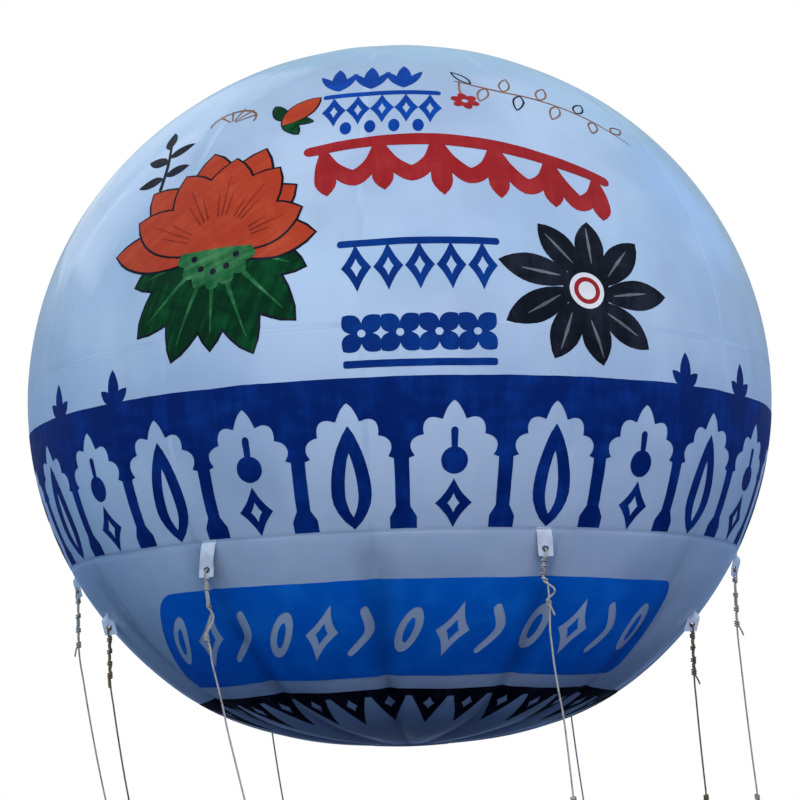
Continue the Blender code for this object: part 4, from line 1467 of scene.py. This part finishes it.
for name, enamel in (("branch_leaf_lines", black), ("branch_leaves", brown)):
    painted(name, enamel, *BRANCH, *branch_leaves[enamel], layer=1, wobble=STEADY_HAND, step=FINE_STEP)
painted("branch_flower", red, *BRANCH, [flower], [ellipse(-0.215, 0.045, 0.016, count=16)], layer=1,
        wobble=STEADY_HAND)

ROSETTE = (27.8, 8.1)
rosette = []
shine = []
for index in range(9):
    angle = tau * index / 9 + radians(20)
    length = 0.30 + 0.09 * cos(angle + 0.36) ** 2
    rosette.append(turned_outline(leaf(0.06, 0.0, 0.42, length, 0.150, 0.55), angle))
    glint = stroke([(0.14, 0.030), (0.22, 0.075), (0.30, 0.118)], [0.004, 0.016, 0.003])
    shine.append(turned_outline(glint, angle))
rosette.append(ellipse(0, 0, 0.12))
painted("rosette", black, *ROSETTE, rosette)
painted("rosette_shine", grey, *ROSETTE, shine, layer=1, wobble=FINE_HAND, step=FINE_STEP)
painted("rosette_eye", white, *ROSETTE, [ellipse(0, 0, 0.088)], layer=2, wobble=STEADY_HAND)
painted("rosette_ring", red, *ROSETTE, [ellipse(0, 0, 0.066)], [ellipse(0, 0, 0.044)], layer=3,
        wobble=STEADY_HAND)

# Camera, light and floor
FLOOR_HALF = 30
FLOOR_HEIGHT = -2.14
SKY_GAIN = 1.7

camera_data = bpy.data.cameras.new("camera")
camera_data.lens = 132.7
camera_data.sensor_width = 36.0
camera_data.shift_y = 0.00375
camera = bpy.data.objects.new("camera", camera_data)
camera.matrix_world = (Matrix.Translation((0, -14.483, -2.087)) @ Matrix.Rotation(radians(98.2), 4, "X")
                       @ Matrix.Rotation(radians(-1.78), 4, "Z"))
bpy.context.scene.collection.objects.link(camera)
bpy.context.scene.camera = camera

# Name, place, aim, width, height, power, colour, and whether it shows in gloss
LAMPS = [
    ("left_sky_behind", (-4.6, 6.8, 6.5), (-1.2, -0.8, 0.9), 5.2, 6.5, 51, (0.92, 0.88, 1.0), True),
    ("left_sky_beside", (-7.6, 4.2, 6.8), (-1.2, -0.8, 0.9), 4.3, 5.4, 62, (0.96, 0.90, 1.0), True),
    ("right_sky", (7.4, 5.6, 5.6), (0, 0, 0.4), 5.0, 3.4, 28, (0.13, 0.34, 1.0), True),
    ("front_softbox", (0.5, -16.0, 5.8), (0, 0, 0), 10.0, 5.0, 736, (1.0, 0.74, 0.31), False),
    ("front_right_softbox", (6.0, -15.0, 4.6), (0, 0, 0), 8.0, 5.0, 264, (1.0, 0.27, 0.48), False),
    ("upper_left_softbox", (-8.0, -2.0, 9.0), (0, 0, 0), 6.0, 6.0, 60, (1.0, 0.25, 0.15), False),
]
for name, place, aim, width, height, power, colour, glossy in LAMPS:
    lamp = bpy.data.lights.new(name, "AREA")
    lamp.shape = "RECTANGLE"
    lamp.size = width
    lamp.size_y = height
    lamp.energy = power
    lamp.color = colour
    light = bpy.data.objects.new(name, lamp)
    light.location = place
    light.rotation_euler = (Vector(aim) - Vector(place)).to_track_quat("-Z", "Y").to_euler()
    light.visible_camera = False
    light.visible_glossy = glossy
    bpy.context.scene.collection.objects.link(light)

# Sky colours from below to above, by the height of the direction looked in
SKY = [(-0.6, (0.0, 0.0, 0.022)), (-0.3, (0.112, 0.153, 0.250)), (0.0, (0.380, 0.600, 1.130)),
       (0.3, (0.935, 1.183, 1.280)), (0.6, (0.745, 1.345, 1.690)), (1.0, (0.692, 0.345, 0.150))]
stops = [(0.0, (0.0, 0.0, 0.0, 1.0))]
stops += [((height + 1) / 2, (*(value / SKY_GAIN for value in colour), 1.0)) for height, colour in SKY]
world = bpy.data.worlds.new("studio")
world.use_nodes = True
bpy.context.scene.world = world
world.node_tree.nodes.clear()
sky = Graph(world.node_tree)
_, ahead, upward = sky.separated(sky.node("ShaderNodeTexCoord", out="Generated"))
front = sky.smooth_step(ahead, 1.0, -1.0, 0.42, 1.0)
tint = sky.node("ShaderNodeValToRGB", {"Fac": upward * 0.5 + 0.5}, "Color", stops)
lit = sky.node("ShaderNodeBackground", {"Color": tint, "Strength": front * SKY_GAIN})
backdrop = sky.node("ShaderNodeBackground", {"Color": (1.0, 1.0, 1.0, 1.0), "Strength": 1.0})
seen = sky.node("ShaderNodeLightPath", out="Is Camera Ray")
shown = sky.node("ShaderNodeMixShader", {0: seen, 1: lit, 2: backdrop})
sky.node("ShaderNodeOutputWorld", {"Surface": shown})
bpy.context.scene.view_settings.view_transform = "Standard"

ground = Finish("Pale floor", 0.7)
tone = ground.smooth_step(ground.noise(ground.place, 0.8, 3.0), 0.3, 0.7)
ground.plug("Base Color", ground.mixed(tone, srgb(231, 231, 231), srgb(234, 234, 234)))
corners = [(x * FLOOR_HALF, y * FLOOR_HALF, FLOOR_HEIGHT) for x, y in ((-1, -1), (1, -1), (1, 1), (-1, 1))]
floor = add_piece("floor", new_mesh(corners, [(0, 1, 2, 3)], material=ground.material))
floor.visible_diffuse = False
floor.visible_glossy = False
floor.visible_shadow = False
